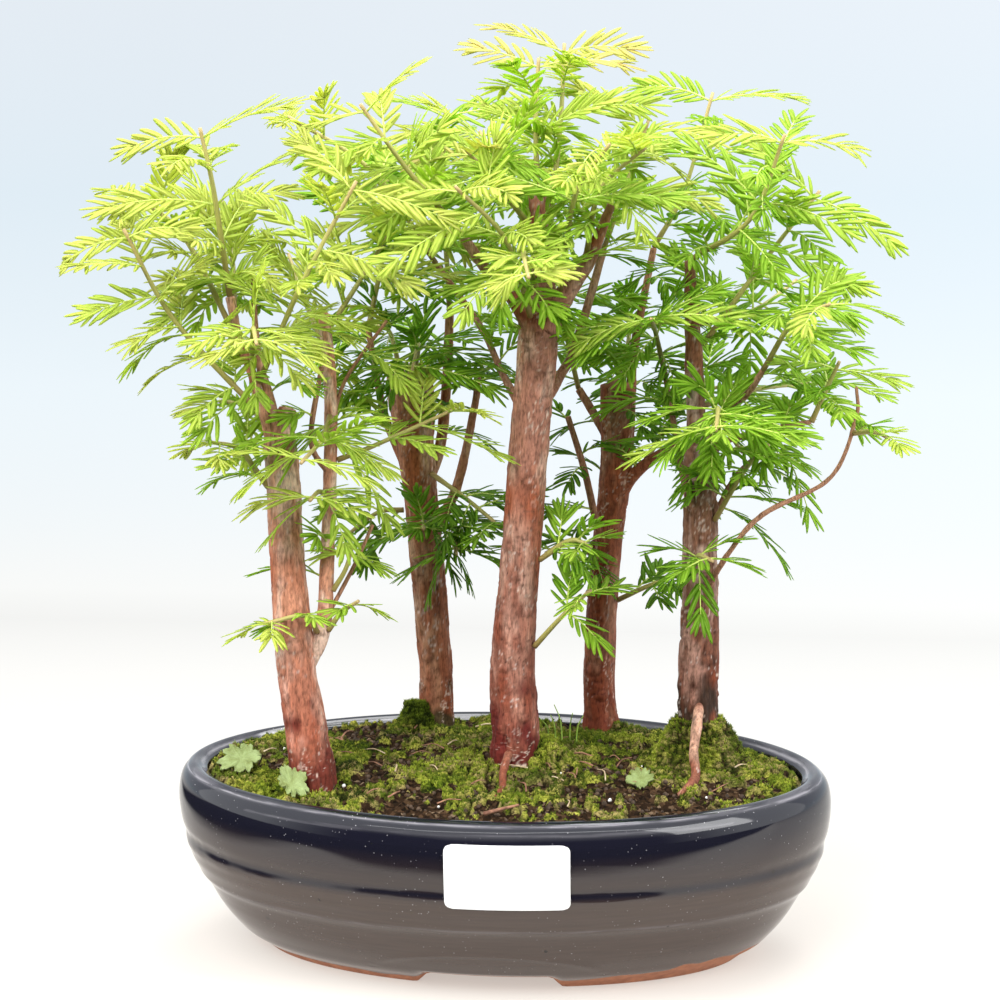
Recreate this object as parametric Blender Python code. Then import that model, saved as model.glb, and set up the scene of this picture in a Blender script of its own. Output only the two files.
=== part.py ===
"""Dawn redwood forest planting: five rooted stems with feathery shoots in a glazed oval tray.

The tray's centre is the origin, its foot stands on z = 0, +X runs along the tray's length and the
front faces -Y. Lengths in the tables below are in millimetres.
"""
import math

import bmesh
import bpy
import numpy as np
from mathutils import Vector
from mathutils.bvhtree import BVHTree

MM = 0.001
GAP = 0.4
FEATHER_SEED = 41

# Tray
HALF_LENGTH = 140.0
HALF_DEPTH = 91.0
OVAL_POWER = 1.92
OVAL_SIDES = 36
# (height, inset from the widest outline), from the foot up over the lip
WALL_OUTSIDE = [
    (0, 38), (4, 33), (8, 27.1), (12.5, 22.8), (17, 19.1), (22, 15.8), (26, 13.6), (30, 11.3), (35, 7.8),
    (39, 5.6), (43, 4.1), (48, 2.7), (52, 1.9), (56, 1.1), (63, 0.1), (70, 0), (76, 1.5), (80, 5),
    (80.5, 8), (78, 12.5),
]
WALL_INSIDE = [(66, 10), (46, 12.5), (30, 20), (17, 32), (15, 38)]
FOOT_WIDTH = 8.0
RECESS_HEIGHT = 7.0
NOTCH_OUTLINE = [(-31, -1), (-28, 3), (-22, 4.5), (22, 4.5), (28, 3), (31, -1)]
DRAIN_RADIUS = 8.0
DRAIN_AT = 58.0
MESH_SIZE = 26.0
MESH_THICK = 1.2
LABEL_SPAN = (-14.0, 36.0)
LABEL_HEIGHTS = (45.5, 48, 52, 56, 63, 70, 73)
LABEL_THICK = 0.4

# Soil
SOIL_EDGE = 74.0
SOIL_RISE = 7.0
SOIL_RINGS = (0.86, 0.68, 0.48, 0.26)
# Rolls of the soil's top: height, then the lengths over which the wave runs one radian
LONG_ROLL = (1.0, 17.0, 13.0)
SHORT_ROLL = (0.6, 9.0)
ROLL_PHASE = 1.3
STEM_DEPTH = 24.0
SCREEN_WINDOW = 8.0

# Wood: each row is one limb as (x, y, z, radius), the first limb of each tree is its trunk
TREES = {
    "front_left": {
        "trunk": [(-76, -38, 79, 9.2), (-77, -38, 96, 8.9), (-82, -37, 131, 8.1), (-85, -35, 171, 7.2),
                  (-87, -34, 211, 6.9), (-88, -33, 224, 6.7), (-85, -32, 237, 3.5)],
        "leader": [(-89, -36, 206, 3.4), (-91, -40, 227, 2.3), (-97, -45, 254, 1.9), (-101, -48, 266, 1.8),
                   (-104, -50, 284, 2.0)],
        "leader_twin": [(-87, -36, 211, 2.4), (-89, -40, 236, 2.0), (-94, -40, 254, 1.7),
                        (-96, -39, 268, 1.3), (-97, -38, 290, 0.9)],
        "second": [(-81, -35, 128, 4.0), (-72, -32, 144, 3.4), (-70, -28, 173, 3.0), (-69, -20, 235, 2.8),
                   (-72, -16, 274, 2.5)],
        "second_side": [(-69, -23, 208, 1.3), (-76, -28, 223, 1.2), (-71, -30, 254, 1.0)],
        "twig": [(-71, -30, 148, 1.0), (-60, -25, 169, 0.8), (-52, -20, 187, 0.7)],
        "twig_high": [(-69, -21, 229, 1.0), (-63, -15, 248, 0.8), (-47, -10, 271, 0.7)],
    },
    "back_left": {
        "trunk": [(-37, 66, 80, 7.5), (-37, 66, 100, 7.7), (-40, 64, 148, 7.4), (-44, 61, 194, 7.8),
                  (-47, 60, 229, 10.0), (-47, 60, 241, 10.2)],
        "right": [(-38, 62, 169, 2.8), (-26, 52, 190, 2.2), (-17, 45, 227, 1.7), (-15, 42, 242, 1.5)],
        "right_high": [(-42, 61, 188, 2.7), (-35, 66, 206, 2.5), (-32, 70, 238, 2.2), (-31, 72, 266, 2.0)],
        "left": [(-46, 61, 190, 2.4), (-57, 64, 214, 1.8), (-62, 66, 231, 1.6), (-67, 68, 259, 1.3)],
    },
    "centre": {
        "trunk": [(5, -5, 80, 9.4), (6, -5, 96, 9.8), (5, -5, 125, 9.5), (8, -6, 167, 8.4),
                  (11, -7, 208, 8.3), (15, -8, 255, 8.0), (16, -8, 276, 8.4)],
        "left": [(14, -10, 268, 3.1), (3, -16, 285, 2.5), (-5, -20, 294, 2.2), (-14, -24, 308, 1.9)],
        "middle": [(18, -2, 268, 5.0), (17, 2, 285, 4.8), (16, 4, 300, 4.5), (14, 6, 325, 3.6)],
        "right": [(18, -9, 269, 4.6), (31, -10, 289, 3.8), (37, -10, 298, 3.1), (46, -14, 320, 1.7)],
        "back_right": [(14, -4, 230, 2.8), (23, 14, 246, 2.2), (29, 20, 258, 2.0), (40, 30, 298, 1.7)],
        "low_left": [(12, -3, 228, 2.2), (0, 8, 246, 1.5), (-11, 14, 267, 1.3), (-30, 20, 292, 1.2)],
        "root": [(5, -9, 87, 2.6), (4, -15, 85, 2.2), (3, -28, 0, 1.8), (3, -42, 0, 1.5), (3, -55, 0, 0.9)],
    },
    "back_right": {
        "trunk": [(38, 66, 81, 7.5), (37, 66, 109, 7.0), (40, 64, 161, 6.7), (44, 62, 197, 7.0),
                  (45, 60, 236, 7.9)],
        "low_left": [(40, 62, 164, 2.2), (36, 56, 176, 1.8), (31, 50, 200, 1.5), (24, 46, 224, 1.3)],
        "right": [(43, 62, 182, 3.3), (50, 60, 194, 2.9), (60, 56, 204, 2.4), (77, 50, 215, 1.5)],
        "high_left": [(43, 61, 209, 2.4), (35, 66, 221, 2.0), (27, 70, 233, 1.8)],
        "leader": [(45, 62, 214, 3.2), (50, 68, 231, 2.2), (51, 72, 250, 2.0), (59, 80, 295, 1.5)],
    },
    "front_right": {
        "trunk": [(83, 15, 80, 8.6), (83, 15, 123, 8.1), (83, 15, 166, 7.6), (83, 14, 206, 6.7),
                  (83, 13, 218, 6.3)],
        "leader": [(82, 14, 207, 4.6), (80, 12, 237, 4.0), (79, 11, 260, 3.5), (77, 10, 295, 2.1)],
        "right": [(83, 11, 213, 2.3), (91, 4, 229, 1.7), (102, -2, 242, 1.4), (108, -6, 252, 1.2)],
        "flat_right": [(81, 13, 214, 2.0), (93, 10, 220, 1.4), (112, 4, 226, 1.2), (128, 0, 230, 1.0)],
        "low_right": [(83, 14, 178, 2.0), (91, 16, 192, 1.3), (98, 20, 204, 1.3), (110, 24, 215, 1.1)],
        "bare_twig": [(84, 12, 152, 1.6), (95, -6, 175, 1.1), (109, -12, 193, 1.1), (136, -14, 209, 0.9),
                      (146, -10, 233, 0.8), (146, -10, 246, 0.7)],
        "left": [(83, 16, 176, 2.0), (76, 26, 197, 1.5), (71, 32, 221, 1.3), (66, 36, 246, 1.2)],
        "root": [(84, 9, 107, 2.3), (83.6, 4.5, 103, 2.1), (83, 0, 95, 2.0), (83, -7, 85, 2.0),
                 (82, -14, 0, 2.0), (80, -26, 0, 1.6), (78, -37, 0, 0.9)],
    },
}
TREE_LETTERS = {"A": "front_left", "B": "back_left", "C": "centre", "D": "back_right", "E": "front_right"}
TRUNK_SIDES = 10
LIMB_SIDES = 6
BARK = {
    "front_left": (0.33, 0.17, 0.11), "back_left": (0.20, 0.12, 0.08), "centre": (0.36, 0.18, 0.12),
    "back_right": (0.25, 0.13, 0.09), "front_right": (0.24, 0.15, 0.11),
}

# Leafy shoots: the limb that carries it, the place along that limb, a point half way and the tip
SHOOTS = {
    "A01": ("leader", 1.00, (-109, -54, 327), (-113, -58, 351)),
    "A02": ("leader", 0.42, (-126, -56, 276), (-142, -68, 312)),
    "A03": ("leader", 0.80, (-128, -30, 308), (-150, -34, 325)),
    "A04": ("leader", 0.55, (-73, -62, 290), (-50, -66, 331)),
    "A05": ("second", 0.97, (-59, -4, 287), (-43, 6, 314)),
    "A06": ("leader", 0.62, (-90, -74, 274), (-85, -92, 270)),
    "A07": ("second", 0.72, (-68, -48, 227), (-71, -78, 222)),
    "A08": ("trunk", 0.80, (-102, -47, 222), (-112, -54, 226)),
    "A09": ("second", 0.12, (-75, -52, 155), (-90, -64, 154)),
    "A10": ("second", 0.60, (-50, -22, 221), (-18, -10, 235)),
    "A11": ("leader", 0.90, (-110, -16, 296), (-120, 14, 318)),
    "A12": ("second", 0.90, (-86, 14, 278), (-98, 44, 294)),
    "A13": ("trunk", 0.93, (-106, -12, 235), (-119, -6, 236)),
    "B01": ("left", 1.00, (-60, 74, 298), (-59, 84, 337)),
    "B02": ("right_high", 1.00, (-34, 76, 320), (-34, 84, 356)),
    "B03": ("trunk", 0.97, (-39, 28, 257), (-38, 0, 249)),
    "B06": ("trunk", 0.62, (-62, 57, 178), (-78, 54, 166)),
    "B07": ("trunk", 0.96, (-60, 85, 256), (-69, 97, 258)),
    "C01": ("middle", 1.00, (13, 8, 353), (14, 10, 378)),
    "C02": ("middle", 0.60, (22, 24, 352), (23, 30, 384)),
    "C03": ("right", 0.30, (33, -36, 325), (47, -48, 345)),
    "C04": ("right", 0.62, (42, -24, 326), (60, -30, 343)),
    "C05": ("trunk", 0.99, (6, -44, 307), (-12, -62, 329)),
    "C06": ("middle", 0.15, (14, -60, 298), (20, -101, 281)),
    "C07": ("middle", 0.70, (1, -14, 325), (-12, -26, 342)),
    "C08": ("left", 1.00, (-36, -34, 336), (-52, -42, 360)),
    "C09": ("low_left", 1.00, (-56, 14, 331), (-90, 6, 354)),
    "C10": ("back_right", 1.00, (47, 34, 319), (58, 40, 352)),
    "C11": ("middle", 0.50, (2, 42, 324), (-18, 78, 346)),
    "C12": ("trunk", 0.28, (26, -14, 148), (39, -22, 162)),
    "D01": ("leader", 1.00, (72, 84, 320), (84, 90, 363)),
    "D02": ("high_left", 1.00, (22, 66, 255), (18, 52, 279)),
    "D03": ("right", 1.00, (88, 38, 225), (100, 18, 214)),
    "D04": ("trunk", 0.97, (48, 89, 256), (44, 102, 258)),
    "D05": ("right", 0.45, (75, 80, 228), (97, 90, 234)),
    "E01": ("leader", 1.00, (102, -6, 314), (115, -18, 348)),
    "E02": ("leader", 0.60, (110, 16, 298), (130, 16, 324)),
    "E03": ("right", 1.00, (120, -22, 274), (134, -32, 282)),
    "E04": ("flat_right", 1.00, (134, -3, 244), (139, -6, 256)),
    "E05": ("left", 1.00, (63, 10, 266), (63, -30, 275)),
    "E06": ("trunk", 0.93, (90, -24, 238), (90, -56, 234)),
    "E07": ("bare_twig", 0.85, (154, -12, 228), (160, -12, 225)),
    "E08": ("leader", 0.70, (104, 42, 272), (122, 74, 282)),
    "E09": ("leader", 0.30, (108, 44, 238), (132, 62, 238)),
}
SHOOT_RADIUS = (1.25, 0.75)
SHOOT_SIDES = 4
# Distances of the opposite pairs of sprays from the shoot's tip, and the bare length at its foot
PAIR_PLACES = (4.0, 17.0, 31.0, 46.0, 62.0, 79.0)
BARE_FOOT = 9.0
# A spray's length grows with its shoot up to a limit; the pair at the tip is shorter
SPRAY_LENGTH = 35.0
SPRAY_GROWTH = (12.0, 0.45)
# Share of that length for shoots with smaller or longer sprays
SPRAY_SCALE = {"A01": 1.1, "A02": 0.8, "A03": 0.85, "A06": 0.7, "A07": 0.85, "A08": 0.8, "A09": 0.6,
               "A10": 0.85, "A13": 0.8, "B06": 0.7, "C12": 0.65, "D03": 0.8, "E06": 0.9}
TIP_SPRAY = 0.86
# Degrees between a spray and its shoot: at the tip, and further down
SPRAY_LEAN = (72.0, 63.0)
SPRAY_FLATTEN = 0.75
# Share of its length that a spray's tip sinks, and how far it varies
DROOP = (0.22, 0.1)
RISE = 0.10
# How far the sprays vary in their turn round the shoot, their lean, their length and their lie
WILD_TURN = 0.35
WILD_LEAN = 0.2
WILD_LENGTH = 0.18
WILD_LIE = 0.35
# Sprays on a shoot: the fewest, the most, and the shoot's length for each one more
FEWEST_SPRAYS = 2
MOST_SPRAYS = 5
SHOOT_PER_SPRAY = 32.0
# Turns about the vertical that a crowded spray tries, smallest first
SPRAY_TURNS = (0.0, 0.3, -0.3, 0.6, -0.6, 0.95, -0.95)
# Free width that a spray needs for its rib and its needles' roots, and the rods that stand for its rib
SPRAY_RADIUS = 2.2
RIB_RODS = (1.8, 1.8, 0.8)
# Half width and half thickness of a spray's rib at its foot and at its knee
RIB_FOOT = (0.6, 0.55)
RIB_KNEE = (1.6, 0.75)
KNEE = 0.8
NEEDLE_LENGTH = 12.5
NEEDLE_WIDTH = 2.0
NEEDLE_THICK = 0.8
NEEDLE_PLACES = (0.28, 0.62)
# Degrees between a needle and its rib at the rib's foot, and how much less it is at its tip
NEEDLE_SPREAD = (50.0, 20.0)
# A needle's share of the full length at u along its rib: a + b u - c u squared, longest near the middle
NEEDLE_GROWTH = (0.72, 1.25, 1.35)
NEEDLE_LIFT = 0.05
NEEDLE_WILD = 0.1
# Shares of its length that a crowded needle tries, and the radius that stands for it
NEEDLE_CUTS = (1.0, 0.7, 0.5)
NEEDLE_RADIUS = 0.85
LEAF_GREEN = {
    "A": (0.42, 0.62, 0.10), "B": (0.16, 0.38, 0.05), "C": (0.44, 0.62, 0.12), "D": (0.22, 0.46, 0.07),
    "E": (0.36, 0.60, 0.09),
}

# Moss cushions: centre, radius, height over the soil, and the share of the radius that is level on top
MOSS = {
    "front_right": ((83, 14), 22.0, 21.0, 0.44),
    "back_left": ((-45, 60), 11.0, 14.0, 0.45),
    "centre": ((19, -2), 15.0, 10.0, 0.25),
}
# Liverworts: centre, half width, half depth and turn in degrees
LIVERWORTS = {
    "front_left": (-82, -51.5, 8.0, 4.0, -32),
    "left": (-110, -17, 9.0, 8.0, 0),
    "front_right": (61, -29, 7.0, 6.0, 20),
}
LIVERWORT_THICK = 1.4
LIVERWORT_LOBES = 5
LIVERWORT_POINTS = 20
MOSS_SIDES = 16
# Depth below the soil from which moss and pads are drawn up before the soil is cut away
UNDER = 8.0


def clear_scene():
    for obj in list(bpy.data.objects):
        bpy.data.objects.remove(obj, do_unlink=True)


def material(name, colour, roughness, metallic=0.0):
    mat = bpy.data.materials.new(name)
    mat.use_nodes = True
    shader = mat.node_tree.nodes["Principled BSDF"]
    shader.inputs["Base Color"].default_value = (*colour, 1.0)
    shader.inputs["Roughness"].default_value = roughness
    shader.inputs["Metallic"].default_value = metallic
    mat.diffuse_color = (*colour, 1.0)
    return mat


def add_object(name, verts, faces, mat=None):
    """One closed body from points in millimetres and faces; its faces are turned outwards."""
    mesh = bpy.data.meshes.new(name)
    mesh.from_pydata([tuple(MM * float(c) for c in v) for v in verts], [], faces)
    body = bmesh.new()
    body.from_mesh(mesh)
    bmesh.ops.recalc_face_normals(body, faces=body.faces)
    body.to_mesh(mesh)
    body.free()
    obj = bpy.data.objects.new(name, mesh)
    bpy.context.scene.collection.objects.link(obj)
    if mat is not None:
        mesh.materials.append(mat)
    return obj


def loft(rings, split=False):
    """Points and faces of a body through closed rings of equal count, capped flat at both ends.

    With split the side faces are triangles, so that two neighbours with the same rings fold alike.
    """
    count = len(rings[0])
    verts = [p for ring in rings for p in ring]
    faces = []
    for level in range(len(rings) - 1):
        for k in range(count):
            a = level * count + k
            b = level * count + (k + 1) % count
            if split:
                faces += [(a, b, b + count), (a, b + count, a + count)]
            else:
                faces.append((a, b, b + count, a + count))
    faces.append(tuple(range(count))[::-1])
    faces.append(tuple(range((len(rings) - 1) * count, len(rings) * count)))
    return verts, faces


def cut(obj, cutters, operation="DIFFERENCE"):
    """Applies an exact Boolean of obj with the cutters, joined as one collection, and removes them."""
    group = bpy.data.collections.new("cutters")
    bpy.context.scene.collection.children.link(group)
    for cutter in cutters:
        bpy.context.scene.collection.objects.unlink(cutter)
        group.objects.link(cutter)
    step = obj.modifiers.new("cut", "BOOLEAN")
    step.operation = operation
    step.operand_type = "COLLECTION"
    step.collection = group
    step.solver = "EXACT"
    graph = bpy.context.evaluated_depsgraph_get()
    graph.update()
    result = bpy.data.meshes.new_from_object(obj.evaluated_get(graph))
    obj.modifiers.clear()
    old = obj.data
    obj.data = result
    bpy.data.meshes.remove(old)
    result.name = obj.name
    for cutter in cutters:
        bpy.data.objects.remove(cutter, do_unlink=True)
    bpy.data.collections.remove(group)
    return obj


def finish(obj, mat):
    obj.data.materials.clear()
    obj.data.materials.append(mat)
    obj.data.shade_smooth()
    obj.data.set_sharp_from_angle(angle=math.radians(40))


def unit(v):
    return v / np.linalg.norm(v)


def smooth_path(points, per_span):
    """Catmull-Rom curve through the points, per_span samples on each span."""
    p = np.asarray(points, float)
    p = np.vstack([2 * p[0] - p[1], p, 2 * p[-1] - p[-2]])
    out = []
    for i in range(1, len(p) - 2):
        for t in np.arange(per_span) / per_span:
            out.append(0.5 * (2 * p[i] + (p[i + 1] - p[i - 1]) * t
                              + (2 * p[i - 1] - 5 * p[i] + 4 * p[i + 1] - p[i + 2]) * t ** 2
                              + (3 * p[i] - p[i - 1] - 3 * p[i + 1] + p[i + 2]) * t ** 3))
    out.append(p[-2])
    return np.array(out)


def tube(points, radii, sides, first_facing=None):
    """Rings along a path: the first faces the path, or first_facing, and the rest turn with it least."""
    points = np.asarray(points, float)
    ahead = np.diff(points, axis=0)
    tangents = [unit(ahead[0])]
    for a, b in zip(ahead[:-1], ahead[1:]):
        tangents.append(unit(unit(a) + unit(b)))
    tangents.append(unit(ahead[-1]))
    if first_facing is not None:
        tangents[0] = unit(np.asarray(first_facing, float))
    axis = np.array([1.0, 0.0, 0.0])
    if abs(tangents[0][0]) > 0.8:
        axis = np.array([0.0, 1.0, 0.0])
    rings = []
    turns = np.arange(sides) * 2 * math.pi / sides
    for point, tangent, radius in zip(points, tangents, radii):
        axis = unit(axis - tangent * (axis @ tangent))
        other = np.cross(tangent, axis)
        rings.append([point + radius * (math.cos(t) * axis + math.sin(t) * other) for t in turns])
    return rings


def oval(height, inset):
    """The tray's outline at a height: a slightly pointed oval, drawn in from its widest size."""
    ring = []
    for k in range(OVAL_SIDES):
        turn = 2 * math.pi * k / OVAL_SIDES
        x = math.copysign(abs(math.cos(turn)) ** (2 / OVAL_POWER), math.cos(turn))
        y = math.copysign(abs(math.sin(turn)) ** (2 / OVAL_POWER), math.sin(turn))
        ring.append(((HALF_LENGTH - inset) * x, (HALF_DEPTH - inset) * y, height))
    return ring


def prism(x, y, low, high, radius, sides):
    turns = [2 * math.pi * k / sides for k in range(sides)]
    rings = [[(x + radius * math.cos(t), y + radius * math.sin(t), z) for t in turns] for z in (low, high)]
    return loft(rings)


def box_mesh(low, high):
    corners = [(low[0], low[1]), (high[0], low[1]), (high[0], high[1]), (low[0], high[1])]
    return loft([[(x, y, z) for x, y in corners] for z in (low[2], high[2])])


def build_pot():
    foot_inset = WALL_OUTSIDE[0][1]
    profile = [(RECESS_HEIGHT, foot_inset + FOOT_WIDTH + 2), (0, foot_inset + FOOT_WIDTH)]
    profile += WALL_OUTSIDE + WALL_INSIDE
    pot = add_object("pot", *loft([oval(z, d) for z, d in profile], split=True))
    cutters = []
    reach = HALF_DEPTH + 5
    notch = loft([[(x, y, z) for x, z in NOTCH_OUTLINE] for y in (-reach, reach)])
    cutters.append(add_object("notch", *notch))
    for side in (-1, 1):
        hole = prism(side * DRAIN_AT, 0, RECESS_HEIGHT - 2, WALL_INSIDE[-1][0] + 2, DRAIN_RADIUS, 12)
        cutters.append(add_object("drain", *hole))
    cut(pot, cutters)
    finish(pot, material("glazed_stoneware", (0.035, 0.038, 0.06), 0.22))
    return pot


def build_drain_mesh(side):
    """A square plastic screen with four windows, lying on the floor over a drain hole."""
    name = "drain_mesh_left" if side < 0 else "drain_mesh_right"
    low = WALL_INSIDE[-1][0] + GAP
    half = MESH_SIZE / 2
    centre = side * DRAIN_AT
    plate = add_object(name, *box_mesh((centre - half, -half, low), (centre + half, half, low + MESH_THICK)))
    windows = []
    reach = SCREEN_WINDOW / 2
    for i in (-1, 1):
        for j in (-1, 1):
            x = centre + i * half / 2
            y = j * half / 2
            window = box_mesh((x - reach, y - reach, low - 1), (x + reach, y + reach, low + MESH_THICK + 1))
            windows.append(add_object("window", *window))
    cut(plate, windows)
    finish(plate, material(name, (0.02, 0.02, 0.02), 0.6))


def inner_inset(height):
    """How far the tray's inner wall lies inside its widest outline at a height."""
    profile = sorted(WALL_INSIDE + WALL_OUTSIDE[-1:])
    return float(np.interp(height, [z for z, _ in profile], [d for _, d in profile]))


def soil_height(x, y):
    """Height of the soil: a low dome inside the lip with gentle rolls that fade at the edge."""
    inset = inner_inset(SOIL_EDGE)
    rho = (x / (HALF_LENGTH - inset)) ** 2 + (y / (HALF_DEPTH - inset)) ** 2
    fade = max(0.0, 1.0 - rho ** 2)
    high, length, width = LONG_ROLL
    rolls = high * math.sin(x / length + ROLL_PHASE) * math.cos(y / width)
    high, length = SHORT_ROLL
    rolls += high * math.sin((x + 2 * y) / length)
    return SOIL_EDGE + SOIL_RISE * max(0.0, 1.0 - rho) + fade * rolls


def soil_mesh(lift):
    """The soil without its stem holes, raised by lift; its walls follow the tray with a gap."""
    rings = []
    for z, d in reversed(WALL_INSIDE):
        rings.append(oval(z + GAP + lift, d + GAP))
    rings.append(oval(SOIL_EDGE + lift, inner_inset(SOIL_EDGE) + GAP))
    edge = rings[-1]
    for share in SOIL_RINGS:
        ring = [(x * share, y * share) for x, y, _ in edge]
        rings.append([(x, y, soil_height(x, y) + lift) for x, y in ring])
    verts, faces = loft(rings, split=True)
    top = faces.pop()
    verts.append((0, 0, soil_height(0, 0) + lift))
    centre = len(verts) - 1
    faces += [(a, b, centre) for a, b in zip(top, top[1:] + top[:1])]
    return verts, faces


def trunk_foot(tree):
    """Place and radius of a tree's stem where it stands in the soil."""
    x, y, _, radius = TREES[tree]["trunk"][0]
    return x, y, radius


def build_soil():
    soil = add_object("soil", *soil_mesh(0.0))
    cutters = []
    over = SOIL_EDGE + 3 * SOIL_RISE
    for tree in TREES:
        x, y, radius = trunk_foot(tree)
        depth = soil_height(x, y) - STEM_DEPTH - GAP
        cutters.append(add_object("hole", *prism(x, y, depth, over, radius + GAP, TRUNK_SIDES)))
    half = MESH_SIZE / 2 + GAP
    for side in (-1, 1):
        centre = side * DRAIN_AT
        top = WALL_INSIDE[-1][0] + MESH_THICK + 2 * GAP
        pocket = box_mesh((centre - half, -half, 0), (centre + half, half, top))
        cutters.append(add_object("pocket", *pocket))
    cut(soil, cutters)
    finish(soil, material("soil", (0.05, 0.035, 0.022), 0.95))
    return soil


def limb_points(tree, limb, soil_tree=None):
    """Centre line and radii of a limb; a point with no height of its own lies on the soil."""
    rows = TREES[tree][limb]
    points = []
    radii = []
    for x, y, z, radius in rows:
        if z == 0:
            z = soil_top(soil_tree, x, y) + radius + 0.6
        points.append((x, y, z))
        radii.append(radius)
    if limb == "trunk":
        x, y, _ = points[0]
        ground = soil_height(x, y)
        points[0] = (x, y, ground + 4)
        points.insert(0, (x, y, ground - STEM_DEPTH))
        radii.insert(0, radii[0])
    return np.array(points, float), np.array(radii, float)


def soil_top(soil_tree, x, y):
    """Height of the soil's faceted top straight below a point."""
    hit = soil_tree.ray_cast(Vector((x * MM, y * MM, 0.2)), Vector((0, 0, -1)))[0]
    return hit.z / MM


def build_tree(tree, soil_tree):
    parts = []
    for limb in TREES[tree]:
        points, radii = limb_points(tree, limb, soil_tree)
        sides = TRUNK_SIDES if limb == "trunk" else LIMB_SIDES
        parts.append(add_object("tree_" + tree, *loft(tube(points, radii, sides))))
    trunk = cut(parts[0], parts[1:], "UNION")
    trunk.name = "tree_" + tree
    finish(trunk, material("bark_" + tree, BARK[tree], 0.85))
    return trunk


def place_on_limb(tree, limb, share):
    """Point, direction and radius at a share of a limb's length, as measured from its table."""
    rows = np.array(TREES[tree][limb], float)
    steps = np.linalg.norm(np.diff(rows[:, :3], axis=0), axis=1)
    along = np.concatenate([[0], np.cumsum(steps)])
    at = share * along[-1]
    value = np.array([np.interp(at, along, rows[:, i]) for i in range(4)])
    span = min(int(np.searchsorted(along, at, side="left")), len(rows) - 1)
    span = max(span, 1)
    return value[:3], unit(rows[span, :3] - rows[span - 1, :3]), value[3]


def shoot_path(name):
    """Centre line of a shoot from just off the bark to its tip, and the way its foot faces."""
    limb, share, middle, tip = SHOOTS[name]
    tree = TREE_LETTERS[name[0]]
    point, along, radius = place_on_limb(tree, limb, share)
    if share >= 1.0:
        facing = along
        start = point + facing * GAP
    else:
        out = np.array(middle, float) - point
        facing = unit(out - along * (out @ along))
        start = point + facing * (radius + GAP)
    return smooth_path([start, middle, tip], 2), facing


def sprays_of(name):
    """Foot, direction, length and lie of each spray of a shoot, in opposite pairs from the tip down."""
    path, _ = shoot_path(name)
    steps = np.linalg.norm(np.diff(path, axis=0), axis=1)
    along = np.concatenate([[0], np.cumsum(steps)])
    total = along[-1]
    draw = np.random.default_rng([FEATHER_SEED, ord(name[0]), int(name[1:])])
    jitter = draw.uniform(-1, 1, (len(PAIR_PLACES), 2, 5))
    sprays = []
    for k, back in enumerate(PAIR_PLACES):
        at = total - back
        if at < BARE_FOOT and k > 0:
            break
        foot = np.array([np.interp(at, along, path[:, i]) for i in range(3)])
        ahead = np.array([np.interp(min(at + 3, total), along, path[:, i]) for i in range(3)])
        behind = np.array([np.interp(at - 3, along, path[:, i]) for i in range(3)])
        tangent = unit(ahead - behind)
        up = np.array([0.0, 0.0, 1.0])
        if abs(tangent[2]) > 0.7:
            flat = np.array([1.0, 0.0, 0.0])
            flat = unit(flat - tangent * (flat @ tangent))
        else:
            flat = unit(np.cross(tangent, up))
        cross = np.cross(tangent, flat)
        for side in (0, 1):
            wild = jitter[k, side]
            turn = (k % 2) * 0.5 * math.pi * abs(tangent[2]) ** 0.7 + WILD_TURN * wild[0]
            outward = (flat * math.cos(turn) + cross * math.sin(turn)) * (1 - 2 * side)
            lean = math.radians(SPRAY_LEAN[min(k, 1)]) + WILD_LEAN * wild[1]
            heading = unit(tangent * math.cos(lean) + outward * math.sin(lean))
            heading = unit(heading * np.array([1.0, 1.0, SPRAY_FLATTEN]))
            length = min(SPRAY_LENGTH, SPRAY_GROWTH[0] + SPRAY_GROWTH[1] * total) * SPRAY_SCALE.get(name, 1.0)
            length *= 1 + WILD_LENGTH * wild[2]
            if k == 0:
                length *= TIP_SPRAY
            lie = unit(up - heading * (up @ heading))
            lie = unit(lie + WILD_LIE * wild[3] * np.cross(heading, lie))
            sprays.append((k, side, foot, heading, length, lie, DROOP[0] + DROOP[1] * wild[4]))
    return sprays


def spray_line(foot, heading, length, droop):
    """Foot, knee and tip of a spray's rib: straight out, then sinking with the square of the distance."""
    u = np.array([[0.0], [KNEE], [1.0]])
    fall = (RISE * u - droop * u ** 2) * np.array([0.0, 0.0, 1.0])
    return foot + length * (heading * u + fall)


class Thicket:
    """Every limb, shoot, rib and needle laid so far, as round-ended rods with their owners."""

    def __init__(self):
        self.rods = []
        self.owners = []

    def add(self, owner, points, radii):
        for a, b, ra, rb in zip(points[:-1], points[1:], radii[:-1], radii[1:]):
            self.rods.append((*a, *b, max(ra, rb)))
            self.owners.append(owner)

    def room(self, owner, a, b, radius):
        """Least free distance between the rod a-b and the rods of all other owners."""
        rods = np.array(self.rods)[np.array(self.owners) != owner]
        p, q, r = rods[:, 0:3], rods[:, 3:6], rods[:, 6]
        d1 = b - a
        d2 = q - p
        gap = a - p
        aa = d1 @ d1
        ee = np.einsum("ij,ij->i", d2, d2)
        ff = np.einsum("ij,ij->i", d2, gap)
        cc = gap @ d1
        bb = d2 @ d1
        den = np.maximum(aa * ee - bb * bb, 1e-9)
        s = np.clip((bb * ff - cc * ee) / den, 0, 1)
        t = (bb * s + ff) / ee
        s = np.where(t < 0, np.clip(-cc / aa, 0, 1), np.where(t > 1, np.clip((bb - cc) / aa, 0, 1), s))
        t = np.clip(t, 0, 1)
        apart = gap + s[:, None] * d1 - t[:, None] * d2
        return float(np.min(np.linalg.norm(apart, axis=1) - r - radius))


def spray_room(thicket, owner, line, radius):
    return min(thicket.room(owner, a, b, radius) for a, b in zip(line[:-1], line[1:]))


def turned(vector, angle):
    c, s = math.cos(angle), math.sin(angle)
    return np.array([c * vector[0] - s * vector[1], s * vector[0] + c * vector[1], vector[2]])


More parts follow.
